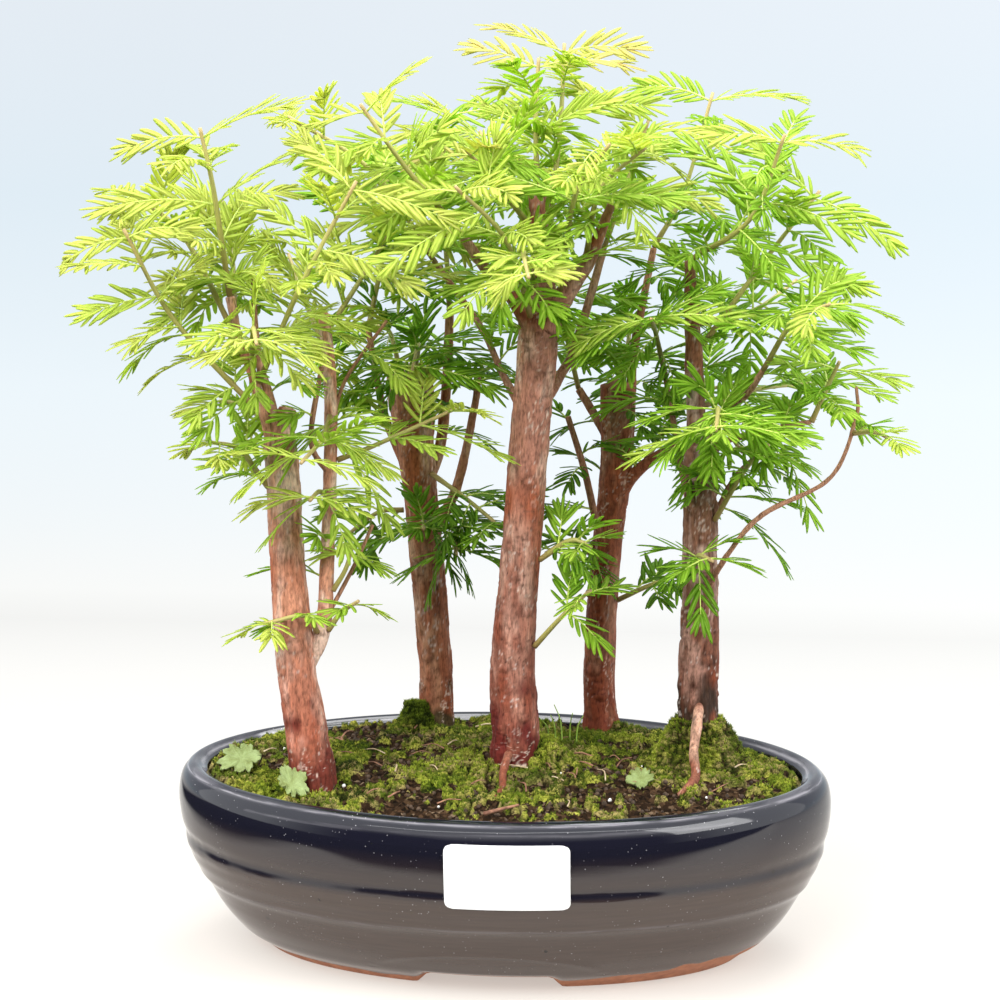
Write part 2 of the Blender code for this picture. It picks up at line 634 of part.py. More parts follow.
def rib_frame(line, lie):
    """Directions along, across and over a rib between its foot and its knee."""
    tangent = unit(line[1] - line[0])
    side = unit(np.cross(lie, tangent))
    return tangent, side, np.cross(tangent, side)


def rib_body(line, lie):
    """A slim four-edged rib, wider towards its knee, that ends in a point."""
    _, side, top = rib_frame(line, lie)
    rings = []
    for point, (w, h) in zip(line, (RIB_FOOT, RIB_KNEE)):
        rings.append([point + side * w + top * h, point - side * w + top * h,
                      point - side * w - top * h, point + side * w - top * h])
    verts, faces = loft(rings)
    far = faces.pop()
    verts.append(line[-1])
    faces += [(a, b, len(verts) - 1) for a, b in zip(far, far[1:] + far[:1])]
    return verts, faces


def needle_lines(line, lie, draw):
    """Root and tip of the needles on both edges of a rib, leaning forward more towards its tip."""
    tangent, side, top = rib_frame(line, lie)
    out = []
    for u in NEEDLE_PLACES:
        root = line[0] + (line[1] - line[0]) * (u / KNEE)
        spread = math.radians(NEEDLE_SPREAD[0] - NEEDLE_SPREAD[1] * u)
        reach = NEEDLE_LENGTH * (NEEDLE_GROWTH[0] + NEEDLE_GROWTH[1] * u - NEEDLE_GROWTH[2] * u * u)
        for hand in (1, -1):
            way = tangent * math.cos(spread) + hand * side * math.sin(spread) + top * NEEDLE_LIFT
            out.append((root, root + unit(way) * reach * (1 + NEEDLE_WILD * draw.uniform(-1, 1)), top))
    return out


def needle_body(root, tip, top):
    """A three-sided needle, as wide as a real one at its root, that ends in a point."""
    way = unit(tip - root)
    across = unit(np.cross(way, top))
    over = np.cross(across, way)
    w = NEEDLE_WIDTH / 2
    h = NEEDLE_THICK / 3
    verts = [root - across * w - over * h, root + across * w - over * h, root + over * 2 * h, tip]
    return verts, [(0, 1, 2), (0, 3, 1), (1, 3, 2), (2, 3, 0)]


def lay_shoots(thicket):
    """Chooses the sprays of every shoot so that none crosses another node; one round for each pair."""
    chosen = {name: [] for name in SHOOTS}
    for name in SHOOTS:
        path, _ = shoot_path(name)
        thicket.add(name, path, np.linspace(*SHOOT_RADIUS, len(path)))
    for turn in range(2 * len(PAIR_PLACES)):
        for number, name in enumerate(SHOOTS):
            sprays = sprays_of(name)
            if turn >= len(sprays) or len(chosen[name]) >= spray_count(name):
                continue
            k, side, foot, heading, length, lie, droop = sprays[turn]
            if k > 0 and side != (k + number) % 2:
                continue
            for angle in SPRAY_TURNS:
                line = spray_line(foot, turned(heading, angle), length, droop)
                if spray_room(thicket, name, line, SPRAY_RADIUS) > GAP:
                    chosen[name].append((line, turned(lie, angle)))
                    thicket.add(name, line, RIB_RODS)
                    break
    return chosen


def spray_count(name):
    path, _ = shoot_path(name)
    length = np.linalg.norm(np.diff(path, axis=0), axis=1).sum()
    return int(np.clip(round(1 + length / SHOOT_PER_SPRAY), FEWEST_SPRAYS, MOST_SPRAYS))


def build_shoot(name, number, sprays, thicket):
    """One leafy shoot: its stem with the ribs and needles that stand clear of every other node."""
    path, facing = shoot_path(name)
    radii = np.linspace(*SHOOT_RADIUS, len(path))
    node = "shoot_" + TREE_LETTERS[name[0]] + "_" + name[1:]
    stem = add_object(node, *loft(tube(path, radii, SHOOT_SIDES, facing)))
    draw = np.random.default_rng([FEATHER_SEED, number])
    parts = []
    for line, lie in sprays:
        parts.append(add_object("rib", *rib_body(line, lie)))
        for root, tip, top in needle_lines(line, lie, draw):
            for share in NEEDLE_CUTS:
                end = root + (tip - root) * share
                if thicket.room(name, root, end, NEEDLE_RADIUS) > GAP:
                    parts.append(add_object("needle", *needle_body(root, end, top)))
                    thicket.add(name, (root, end), (NEEDLE_RADIUS, NEEDLE_RADIUS))
                    break
    cut(stem, parts, "UNION")
    stem.name = node
    finish(stem, LEAF_MATERIALS[name[0]])
    return stem


def build_moss(place, soil_lifted):
    """A cushion on the soil, hugging the stem: a flat-topped mound cut to the soil and the wood."""
    (x, y), radius, height, level = MOSS[place]
    ground = soil_height(x, y)
    turns = [2 * math.pi * k / MOSS_SIDES for k in range(MOSS_SIDES)]
    stations = [(1.12, -UNDER), (1.0, 0.0), (0.5 + 0.5 * level, 0.62 * height), (level, height)]
    rings = []
    for share, rise in stations:
        r = radius * share
        rings.append([(x + r * math.cos(t), y + r * math.sin(t), ground + rise) for t in turns])
    moss = add_object("moss_" + place, *loft(rings))
    cutters = [add_object("ground", *soil_lifted)]
    for limb in ("trunk", "root"):
        if limb in TREES[place]:
            points, radii = limb_points(place, limb, SOIL_TREE)
            sides = TRUNK_SIDES if limb == "trunk" else LIMB_SIDES
            wood = loft(tube(points, radii + GAP / math.cos(math.pi / sides), sides))
            cutters.append(add_object("wood", *wood))
    cut(moss, cutters)
    finish(moss, material("moss_" + place, (0.14, 0.24, 0.04), 0.95))


def build_liverwort(place, soil_lifted):
    """A flat lobed pad that lies on the soil."""
    x, y, half_wide, half_deep, lie = LIVERWORTS[place]
    outline = []
    for k in range(LIVERWORT_POINTS):
        turn = 2 * math.pi * k / LIVERWORT_POINTS
        lobe = 0.78 + 0.22 * math.cos(LIVERWORT_LOBES * turn + x)
        spot = np.array([lobe * half_wide * math.cos(turn), lobe * half_deep * math.sin(turn), 0.0])
        spot = turned(spot, math.radians(lie))
        outline.append((x + spot[0], y + spot[1]))
    low = [(px, py, soil_height(px, py) - UNDER) for px, py in outline]
    high = [(px, py, soil_height(px, py) + GAP + LIVERWORT_THICK) for px, py in outline]
    pad = add_object("liverwort_" + place, *loft([low, high]))
    cut(pad, [add_object("ground", *soil_lifted)])
    finish(pad, material("liverwort_" + place, (0.35, 0.50, 0.22), 0.6))


def build_label():
    """A blank paper label that follows the front wall a hair off the glaze."""
    wall = {z: float(np.interp(z, *zip(*WALL_OUTSIDE[:-2]))) for z in LABEL_HEIGHTS}
    corner = [x for x, y, _ in oval(0, 0) if y < 0 and LABEL_SPAN[0] < x < LABEL_SPAN[1]]
    columns = sorted([LABEL_SPAN[0], LABEL_SPAN[1]] + corner)
    layers = []
    for proud in (GAP, GAP + LABEL_THICK):
        for z in LABEL_HEIGHTS:
            ring = oval(z, wall[z] - proud)
            front = sorted((x, y) for x, y, _ in ring if y < 0)
            xs = [p[0] for p in front]
            ys = [p[1] for p in front]
            layers.append([(x, float(np.interp(x, xs, ys)), z) for x in columns])
    rows = len(LABEL_HEIGHTS)
    wide = len(columns)
    verts = [p for layer in layers for p in layer]
    faces = []
    for i in range(rows - 1):
        for j in range(wide - 1):
            a = i * wide + j
            faces.append((a, a + 1, a + wide + 1, a + wide))
            b = a + rows * wide
            faces.append((b + wide, b + wide + 1, b + 1, b))
    border = list(range(wide)) + [i * wide + wide - 1 for i in range(1, rows)]
    border += [(rows - 1) * wide + j for j in range(wide - 2, -1, -1)]
    border += [i * wide for i in range(rows - 2, 0, -1)]
    for a, b in zip(border, border[1:] + border[:1]):
        faces.append((b, a, a + rows * wide, b + rows * wide))
    label = add_object("label", verts, faces)
    finish(label, material("label", (0.85, 0.85, 0.85), 0.6))


clear_scene()
build_pot()
for hand in (-1, 1):
    build_drain_mesh(hand)
build_soil()
uncut = add_object("uncut", *soil_mesh(0.0))
SOIL_TREE = BVHTree.FromObject(uncut, bpy.context.evaluated_depsgraph_get())
bpy.data.objects.remove(uncut, do_unlink=True)
raised_soil = soil_mesh(GAP)
for tree_name in TREES:
    build_tree(tree_name, SOIL_TREE)
for moss_place in MOSS:
    build_moss(moss_place, raised_soil)
for pad_place in LIVERWORTS:
    build_liverwort(pad_place, raised_soil)
build_label()

LEAF_MATERIALS = {letter: material("leaf_" + letter, rgb, 0.5) for letter, rgb in LEAF_GREEN.items()}
rods = Thicket()
for tree_name in TREES:
    for limb_name in TREES[tree_name]:
        rods.add(tree_name, *limb_points(tree_name, limb_name, SOIL_TREE))
laid = lay_shoots(rods)
for shoot_number, shoot_name in enumerate(SHOOTS):
    build_shoot(shoot_name, shoot_number, laid[shoot_name], rods)
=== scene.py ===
"""Dawn redwood forest planting: five stems with feathery sprays over mossy soil in an oval glazed tray.

Sizes are in millimetres in the row frame: the tray's centre is the origin, its foot stands on z = 0, +X runs
along the tray and the front faces -Y. Every shape is worked out with numpy as whole arrays.
"""
import itertools
import math

import bpy
import numpy as np
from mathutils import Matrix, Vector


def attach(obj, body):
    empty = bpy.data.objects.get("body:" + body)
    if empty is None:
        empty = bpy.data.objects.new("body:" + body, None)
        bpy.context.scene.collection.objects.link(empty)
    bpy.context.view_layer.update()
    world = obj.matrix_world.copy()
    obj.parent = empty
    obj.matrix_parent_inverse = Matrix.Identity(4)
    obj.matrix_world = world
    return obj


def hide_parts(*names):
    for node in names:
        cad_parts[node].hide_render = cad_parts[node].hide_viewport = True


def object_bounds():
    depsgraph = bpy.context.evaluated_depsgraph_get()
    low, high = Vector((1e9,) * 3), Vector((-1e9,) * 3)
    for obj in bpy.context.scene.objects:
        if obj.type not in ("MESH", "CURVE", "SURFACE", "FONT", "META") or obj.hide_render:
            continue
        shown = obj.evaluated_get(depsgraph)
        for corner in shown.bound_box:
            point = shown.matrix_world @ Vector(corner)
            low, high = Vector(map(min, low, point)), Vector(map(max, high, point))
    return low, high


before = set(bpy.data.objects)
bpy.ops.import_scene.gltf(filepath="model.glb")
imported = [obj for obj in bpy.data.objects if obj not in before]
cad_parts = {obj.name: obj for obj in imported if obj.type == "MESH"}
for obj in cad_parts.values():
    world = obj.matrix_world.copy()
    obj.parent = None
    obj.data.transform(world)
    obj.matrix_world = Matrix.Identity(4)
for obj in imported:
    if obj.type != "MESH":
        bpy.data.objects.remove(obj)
cad_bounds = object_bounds()

# Camera, floor and light: a long lens looks slightly down on the front, turned a little to the right. The
# floor rises behind the tray in a soft sweep. Five lamps light it, the largest on the left, and the sweep
# also glows with painted light of its own. The floor before the tray and the room behind the camera are dark,
# which gives the glaze its bands.
MM = 0.001
EYE = (0.10657, -1.02950, 0.378)
LOOK_DOWN = math.radians(10.03)
TURN = math.radians(5.91)
LENS = 90.0
SENSOR = 36.0
SHIFT = -0.0023
SWEEP_START = 900.0
SWEEP_RADIUS = 700.0
FLOOR_ROWS = 88
FLOOR_COLUMNS = 9
BLACK_PAPER = (0.01, 0.01, 0.012)

camera = bpy.data.objects.new("camera", bpy.data.cameras.new("camera"))
bpy.context.scene.collection.objects.link(camera)
camera.location = EYE
camera.rotation_euler = (math.pi / 2 - LOOK_DOWN, 0, TURN)
camera.data.lens = LENS
camera.data.sensor_width = SENSOR
camera.data.shift_x = SHIFT
bpy.context.scene.camera = camera


def feed(tree, socket, value):
    """Gives a socket a link or a constant."""
    if isinstance(value, bpy.types.NodeSocket):
        tree.links.new(value, socket)
    else:
        socket.default_value = value


def node(tree, kind, settings=None, **inputs):
    """Adds a shader node. Settings are its own properties, and inputs are values or links for its sockets."""
    made = tree.nodes.new("ShaderNode" + kind)
    for key, value in (settings or {}).items():
        setattr(made, key, value)
    for key, value in inputs.items():
        feed(tree, made.inputs[key.replace("_", " ")], value)
    return made


def sums(tree, way, *values):
    """A number worked out from others, in one of the math node's ways."""
    made = node(tree, "Math", {"operation": way})
    for socket, value in zip(made.inputs, values):
        feed(tree, socket, value)
    return made.outputs[0]


def own_spot(tree):
    """The place on the object, in metres, on which its patterns lie."""
    return node(tree, "TexCoord").outputs["Object"]


def ramp(tree, factor, *stops):
    """A colour that runs through stops of (place, (r, g, b)) as the factor goes from 0 to 1."""
    made = node(tree, "ValToRGB", Fac=factor)
    band = made.color_ramp
    while len(band.elements) < len(stops):
        band.elements.new(0.5)
    for element, (place, colour) in zip(band.elements, stops):
        element.position = place
        element.color = (*colour, 1.0)
    return made.outputs["Color"]


def grey(low, high):
    """Two stops of a ramp from black to white between two places."""
    return (low, (0, 0, 0)), (high, (1, 1, 1))


def blend(tree, factor, first, second, way="MIX"):
    """Two colours mixed by a factor, in one of the mix node's ways."""
    made = tree.nodes.new("ShaderNodeMix")
    made.data_type = "RGBA"
    made.blend_type = way
    feed(tree, made.inputs[0], factor)
    for index, colour in ((6, first), (7, second)):
        feed(tree, made.inputs[index], colour if isinstance(colour, bpy.types.NodeSocket) else (*colour, 1.0))
    return made.outputs[2]


def both_shaders(tree, share, first, second):
    """Sends two shaders, mixed by a share, to the material's output."""
    both = node(tree, "MixShader", Fac=share)
    tree.links.new(first.outputs[0], both.inputs[1])
    tree.links.new(second.outputs[0], both.inputs[2])
    tree.links.new(both.outputs[0], tree.nodes["Material Output"].inputs["Surface"])


def finish_of(name, roughness, **sockets):
    """A material with one Principled shader: returns the material, its node tree and the shader."""
    made = bpy.data.materials.new(name)
    made.use_nodes = True
    tree = made.node_tree
    shader = tree.nodes["Principled BSDF"]
    shader.inputs["Roughness"].default_value = roughness
    for key, value in sockets.items():
        shader.inputs[key.replace("_", " ")].default_value = value
    return made, tree, shader


def mesh_of(name, verts, *polygons):
    """A mesh from points in millimetres and arrays of polygons, each (count, corners)."""
    mesh = bpy.data.meshes.new(name)
    verts = np.ascontiguousarray(verts, np.float64) * MM
    corners = np.concatenate([p.ravel() for p in polygons])
    sizes = np.concatenate([np.full(len(p), p.shape[1]) for p in polygons])
    mesh.vertices.add(len(verts))
    mesh.vertices.foreach_set("co", verts.astype(np.float32).ravel())
    mesh.loops.add(len(corners))
    mesh.loops.foreach_set("vertex_index", corners.astype(np.int32))
    mesh.polygons.add(len(sizes))
    mesh.polygons.foreach_set("loop_start", (np.cumsum(sizes) - sizes).astype(np.int32))
    mesh.update(calc_edges=True)
    mesh.shade_smooth()
    return mesh


def grid_faces(rows, columns, wrap=False):
    """Quads between the points of a grid whose columns may close into a ring."""
    i, j = np.meshgrid(np.arange(rows - 1), np.arange(columns if wrap else columns - 1), indexing="ij")
    next_j = (j + 1) % columns
    near, far = i * columns, (i + 1) * columns
    return np.stack([near + j, near + next_j, far + next_j, far + j], -1).reshape(-1, 4)


def sweep_height(back):
    """Height of the backdrop at a distance behind the tray: flat, then a quarter circle, then straight up."""
    turn = np.clip((back - SWEEP_START) / SWEEP_RADIUS, 0, math.pi / 2)
    rise = SWEEP_RADIUS * (1 - np.cos(turn)) + np.maximum(back - SWEEP_START - SWEEP_RADIUS * math.pi / 2, 0)
    return np.minimum(back, SWEEP_START) + SWEEP_RADIUS * np.sin(turn), rise


across, back = np.meshgrid(np.linspace(-4000, 4000, FLOOR_COLUMNS), np.linspace(-1600, 4200, FLOOR_ROWS))
deep, high = sweep_height(back)
floor_points = np.stack([across, deep, high], -1).reshape(-1, 3)
floor = bpy.data.objects.new("floor", mesh_of("floor", floor_points, grid_faces(FLOOR_ROWS, FLOOR_COLUMNS)))
bpy.context.scene.collection.objects.link(floor)
paper, tree, shader = finish_of("backdrop", 0.9)
place = node(tree, "SeparateXYZ", Vector=own_spot(tree))
deep = node(tree, "MapRange", Value=place.outputs["Y"], From_Min=-0.4, From_Max=1.6).outputs[0]
# Painted light: the backdrop's colour is also its own glow. It is cream by the tray, darker just behind it,
# white at the bend and pale blue up the wall.
paint = ramp(tree, deep, (0.0, BLACK_PAPER), (0.099, BLACK_PAPER), (0.119, (0.98, 0.92, 0.85)),
             (0.15, (0.98, 0.92, 0.85)), (0.175, (0.80, 0.745, 0.69)), (0.26, (0.735, 0.70, 0.655)),
             (0.375, (0.80, 0.785, 0.755)), (0.55, (0.965, 0.975, 0.965)), (0.81, (0.87, 0.95, 1.0)),
             (0.915, (0.77, 0.87, 0.945)), (1.0, (0.81, 0.86, 0.92)))
# Painted light: the backdrop grows brighter to the right
sideways = node(tree, "MapRange", Value=place.outputs["X"], From_Min=-0.5, From_Max=0.5,
                To_Min=0.975, To_Max=1.055).outputs[0]
sideways = node(tree, "CombineColor", Red=sideways, Green=sideways, Blue=sideways).outputs[0]
paint = blend(tree, 1.0, paint, sideways, "MULTIPLY")
# A black flag lies to the left of the tray, just outside the picture, and fades out behind the tray
slant = sums(tree, "MULTIPLY_ADD", place.outputs["Y"], 0.36, place.outputs["X"])
clear = node(tree, "MapRange", Value=slant, From_Min=-0.295, From_Max=-0.245).outputs[0]
clear = blend(tree, 1.0, clear, ramp(tree, deep, *grey(0.33, 0.42)), "LIGHTEN")
paint = blend(tree, clear, BLACK_PAPER, paint)
tree.links.new(paint, shader.inputs["Base Color"])
# The glow is painted light. Near the tray, part of the floor is plain diffuse so that lamp shadows show on
# it.
glow = node(tree, "Emission", Color=paint, Strength=1.0)
near = ramp(tree, deep, (0.25, (0.62,) * 3), (0.5, (1, 1, 1)))
both_shaders(tree, near, shader, glow)
floor.data.materials.append(paper)

world = bpy.data.worlds.new("studio")
bpy.context.scene.world = world
world.use_nodes = True
tree = world.node_tree
aim = node(tree, "SeparateXYZ", Vector=node(tree, "TexCoord").outputs["Generated"])
toward_camera = ramp(tree, sums(tree, "MULTIPLY", aim.outputs["Y"], -1.0), *grey(0.35, 0.75))
lift = ramp(tree, aim.outputs["Z"], *grey(0.25, 0.6))
room = blend(tree, lift, (0.045, 0.045, 0.06), (1.0, 1.0, 1.0))
sky = blend(tree, toward_camera, (0.95, 0.98, 1.0), room)
tree.links.new(sky, tree.nodes["Background"].inputs["Color"])
tree.nodes["Background"].inputs["Strength"].default_value = 1.62
bpy.context.scene.view_settings.view_transform = "Standard"

# name: place, point it faces, width, depth, watts; the strip draws the thin bright line along the lip, so the
# key lamp and the front lamp leave no mark of their own in the glaze
LAMPS = {
    "key": ((-0.9, -1.0, 1.7), (0, 0, 0.2), 1.9, 1.9, 52.0),
    "top": ((0.3, 0.5, 1.9), (0, 0, 0.2), 1.2, 1.2, 32.0),
    "fill": ((1.3, -0.7, 0.9), (0, 0, 0.15), 0.9, 0.9, 15.0),
    "front": ((-0.5, -1.6, 1.0), (0, 0, 0.26), 0.9, 0.9, 16.0),
    "strip": ((0.1, -1.0, 1.5), (0, 0, 0.08), 2.4, 0.07, 3.0),
}
for name, (spot, target, width, depth, watts) in LAMPS.items():
    lamp = bpy.data.objects.new(name, bpy.data.lights.new(name, "AREA"))
    bpy.context.scene.collection.objects.link(lamp)
    lamp.location = spot
    aim_at = np.array(target) - np.array(spot)
    flat = math.hypot(aim_at[0], aim_at[1])
    lamp.rotation_euler = (math.pi / 2 + math.atan2(aim_at[2], flat), 0, math.atan2(-aim_at[0], aim_at[1]))
    lamp.data.shape = "RECTANGLE"
    lamp.data.size = width
    lamp.data.size_y = depth
    lamp.visible_glossy = name not in ("key", "front")
    lamp.data.energy = watts

# Tray: one piece of stoneware, thrown and pressed to an oval, with a broad rolled lip, soft ridges round the
# wall, and a foot ring with an arched notch in front and behind. Its floor is closed here. The glaze is a
# deep blue-black. It grows browner towards the foot, partly where the glaze runs thinner and partly as a
# painted warm reflection of the floor. It is pale on its edges, partly where the glaze runs thinner and
# partly as painted highlight and reflection lines. The foot's bottom is bare red clay.
HALF_LENGTH = 140.0
HALF_DEPTH = 91.0
OVAL_POWER = 1.92
TRAY_TURNS = 320
GLAZE_DARK = (0.006, 0.006, 0.012)
# Brown: partly thinner glaze, partly a painted warm reflection of the floor on the lower wall
GLAZE_BROWN = (0.052, 0.034, 0.027)
# Pale: partly glaze running thinner on edges, partly painted highlights and reflections
GLAZE_PALE_AND_HIGHLIGHT = (0.20, 0.19, 0.21)
CLAY = (0.42, 0.17, 0.085)
# (height, inset from the widest outline), from the foot up over the lip
WALL_OUTSIDE = [
    (0, 38), (4, 33), (8, 27.1), (12.5, 22.8), (17, 19.1), (22, 15.8), (26, 13.6), (30, 11.3), (35, 7.8),
    (39, 5.6), (43, 4.1), (48, 2.7), (52, 1.9), (56, 1.1), (63, 0.1), (70, 0), (76, 1.5), (80, 5),
    (80.5, 8), (78, 12.5),
]
WALL_INSIDE = [(66, 10), (46, 12.5), (30, 20), (17, 32), (15, 38)]
FOOT_WIDTH = 8.0
RECESS_HEIGHT = 7.0
NOTCH_HALF = 31.0
NOTCH_HEIGHT = 4.5
ARCH_HALF = 48.0
ARCH_RISE = 13.0
FLOOR_INSET = 80.0
# How many rows of the wall, counted up from the foot, may have bare clay, rings, browner glaze with its
# painted reflection, and a pale line on the lip's shoulder with its painted highlight
BARE_ROWS = 22
RING_ROWS = 155
THIN_ROWS = 160
CREST_ROWS = 166


def noise(points, seed=0):
    """A smooth random field between -1 and 1: random values at whole-number points, eased in between."""
    cell = np.floor(points).astype(np.int64)
    part = points - cell
    ease = part * part * (3 - 2 * part)
    total = np.zeros(points.shape[:-1])
    for corner in itertools.product((0, 1), repeat=3):
        spot = cell + np.array(corner)
        key = spot[..., 0] * 73856093 ^ spot[..., 1] * 19349663 ^ spot[..., 2] * 83492791 ^ seed * 97
        key = (key ^ (key >> 13)) * 1274126177 & 0x7FFFFFFF
        value = ((key ^ (key >> 15)) & 0xFFFF) / 32767.5 - 1.0
        total += value * np.prod(np.where(corner, ease, 1 - ease), axis=-1)
    return total


def smooth_path(points, count):
    """A Catmull-Rom curve through rows of numbers, sampled at count even steps of its parameter."""
    p = np.asarray(points, float)
    p = np.vstack([2 * p[0] - p[1], p, 2 * p[-1] - p[-2]])
    t = np.linspace(0, len(p) - 3, count)
    i = np.minimum(t.astype(int), len(p) - 4)
    t = (t - i)[:, None]
    a, b, c, d = p[i], p[i + 1], p[i + 2], p[i + 3]
    square, cube = 2 * a - 5 * b + 4 * c - d, 3 * b - a - 3 * c + d
    return 0.5 * (2 * b + (c - a) * t + square * t ** 2 + cube * t ** 3)


def oval(turn, inset):
    """A point of the slightly pointed oval: x and y are powers 2/n of the cosine and sine of the turn."""
    c, s = np.cos(turn), np.sin(turn)
    x = (HALF_LENGTH - inset) * np.sign(c) * np.abs(c) ** (2 / OVAL_POWER)
    y = (HALF_DEPTH - inset) * np.sign(s) * np.abs(s) ** (2 / OVAL_POWER)
    return x, y


def dress(piece, slot, *nodes):
    """Puts a finished piece on the one body, in place of CAD nodes. The slot is not used."""
    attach(piece, "root")
    if nodes:
        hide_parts(*nodes)
    return piece


def new_piece(name, mesh, *materials):
    """An object of the scene from a mesh and its materials."""
    made = bpy.data.objects.new(name, mesh)
    bpy.context.scene.collection.objects.link(made)
    for material in materials:
        mesh.materials.append(material)
    return made


def give(mesh, name, values, kind="FLOAT", field="value"):
    """Stores a value for each point of a mesh, for its material to read."""
    values = np.asarray(values, np.float32).ravel()
    mesh.attributes.new(name, kind, "POINT").data.foreach_set(field, values)


def carried(tree, name, output="Fac"):
    """A value that the mesh carries for each of its points."""
    return node(tree, "Attribute", {"attribute_name": name}).outputs[output]


def cloud(tree, spot, scale, detail, **more):
    """Noise between 0 and 1: its scale for each metre, and how many finer layers it has."""
    return node(tree, "TexNoise", Vector=spot, Scale=scale, Detail=detail, **more).outputs["Fac"]


def closed_rings(name, verts, rows, sides):
    """A mesh of rings, each joined to the next, whose first and last ring are filled in."""
    ids = np.arange(sides)
    last = (rows - 1) * sides + ids
    return mesh_of(name, verts, grid_faces(rows, sides, True), ids[None, ::-1], last[None, :])


def thrown_rings(height, turn, x, y):
    """Inset added to the wall, in millimetres, by the rings that the potter's fingers left.

    A groove at 52 mm, uneven along its length, lies between soft ridges at 47 and 58 mm. A lower ridge runs
    at 33 mm with a shallow groove over it. They wander a little round the tray. A raised line follows the
    arch over each notch.
    """
    level = height + 0.7 * np.sin(2 * turn + 1.0) + 0.4 * np.sin(5 * turn + 0.4)
    uneven = 1 + 0.45 * noise(np.stack([x / 26, y / 26, 0 * x + height / 60], -1), 4)
    uneven = uneven + 0.25 * noise(np.stack([x / 3, y / 3, 0 * x + height / 9], -1), 6)
    rings = uneven * (0.46 * np.exp(-((level - 52.3) / 2.5) ** 2) - 0.46 * np.exp(-((level - 47) / 2.3) ** 2))
    rings -= 0.12 * np.exp(-((level - 58) / 3.6) ** 2) + 0.40 * np.exp(-((level - 33.5) / 1.7) ** 2)
    rings += 0.20 * np.exp(-((level - 38) / 2.2) ** 2)
    arch = 8 + ARCH_RISE * np.sqrt(np.clip(1 - (x / ARCH_HALF) ** 2, 0, 1))
    line = np.exp(-((height - arch) / 1.3) ** 2) * (np.abs(x) < ARCH_HALF) * (np.abs(y) > 20)
    return rings - 0.35 * line


def glaze():
    """Blue-black glaze: browner towards the foot, partly thinner glaze and partly a painted warm reflection
    of the floor; pale on edges, partly thinner glaze and partly painted highlight lines; fine specks; clay
    below.
    """
    made, tree, shader = finish_of("tray_glaze", 0.07, Specular_IOR_Level=0.55)
    spot = own_spot(tree)
    long_way = node(tree, "Mapping", Vector=spot, Scale=(6.0, 6.0, 90.0)).outputs[0]
    streak = cloud(tree, long_way, 9.0, 5.0)
    thin, edge, bare = [carried(tree, part) for part in ("thin", "edge", "bare")]
    deeper = [0.78 * part for part in GLAZE_BROWN]
    brown = blend(tree, ramp(tree, streak, *grey(0.3, 0.75)), deeper, GLAZE_BROWN)
    # Painted reflection: the wall grows browner towards the foot. This is partly thinner glaze and partly the
    # floor's warm reflection painted in.
    colour = blend(tree, thin, GLAZE_DARK, brown)
    # Painted highlight: pale edges and lines, broken by streaks. They are partly thinner glaze and partly
    # highlights and reflections painted in.
    pale_edge_and_highlight = blend(tree, 1.0, edge, ramp(tree, streak, (0.42, (0.25,) * 3), (0.58, (1, 1, 1))), "MULTIPLY")
    colour = blend(tree, pale_edge_and_highlight, colour, GLAZE_PALE_AND_HIGHLIGHT)
    speck = node(tree, "TexVoronoi", Vector=spot, Scale=420.0, Randomness=1.0).outputs["Distance"]
    few = ramp(tree, cloud(tree, spot, 55.0, 2.0), *grey(0.44, 0.62))
    dots = blend(tree, 1.0, ramp(tree, speck, (0.0, (1, 1, 1)), (0.13, (0, 0, 0))), few, "MULTIPLY")
    colour = blend(tree, dots, colour, (0.42, 0.41, 0.42))
    pit = node(tree, "TexVoronoi", Vector=spot, Scale=46.0, Randomness=1.0).outputs["Distance"]
    pits = ramp(tree, pit, (0.035, (1, 1, 1)), (0.05, (0, 0, 0)))
    colour = blend(tree, pits, colour, (0.006, 0.004, 0.003))
    clay = ramp(tree, cloud(tree, spot, 260.0, 4.0), (0.3, (0.27, 0.10, 0.05)), (0.7, CLAY))
    tree.links.new(blend(tree, bare, colour, clay), shader.inputs["Base Color"])
    tree.links.new(ramp(tree, bare, (0.0, (0.07,) * 3), (1.0, (0.85,) * 3)), shader.inputs["Roughness"])
    return made


profile = smooth_path(WALL_OUTSIDE, 170)
inner = smooth_path([WALL_OUTSIDE[-1]] + WALL_INSIDE, 34)[1:]
foot_out = WALL_OUTSIDE[0][1]
foot_in = foot_out + FOOT_WIDTH
under = np.array([(RECESS_HEIGHT, FLOOR_INSET), (RECESS_HEIGHT, foot_in + 4),
                  (RECESS_HEIGHT - 1.5, foot_in + 1.2), (0.4, foot_in), (0, foot_in - 0.6),
                  (0, foot_out + 0.8), (0.4, foot_out)])
stations = np.vstack([under, profile[1:], inner, [(WALL_INSIDE[-1][0], FLOOR_INSET)]])
station = np.arange(len(stations))
turns = np.arange(TRAY_TURNS) * 2 * math.pi / TRAY_TURNS
heights = np.repeat(stations[:, 0:1], TRAY_TURNS, axis=1)
x, y = oval(turns[None, :], stations[:, 1:2])
outside = ((station >= len(under)) & (station < len(under) + RING_ROWS))[:, None]
x, y = oval(turns[None, :], stations[:, 1:2] + outside * thrown_rings(heights, turns[None, :], x, y))
wobble = 0.25 * noise(np.stack([x / 40, y / 40, heights / 12], -1), 3) * np.clip(heights / 10, 0, 1)
wobble *= heights < 79
wall = np.hypot(x, y)
x, y = x * (1 - np.abs(wobble) / wall), y * (1 - np.abs(wobble) / wall)
arch = np.clip((NOTCH_HALF - np.abs(x)) / 6.0, 0, 1)
lift = NOTCH_HEIGHT * arch * arch * (3 - 2 * arch)
low = np.clip((10 - heights) / 10, 0, 1) * (np.abs(y) > 20)
recess = np.isclose(heights, RECESS_HEIGHT) & (station < len(under))[:, None]
heights = np.where(recess, heights, heights + lift * low)
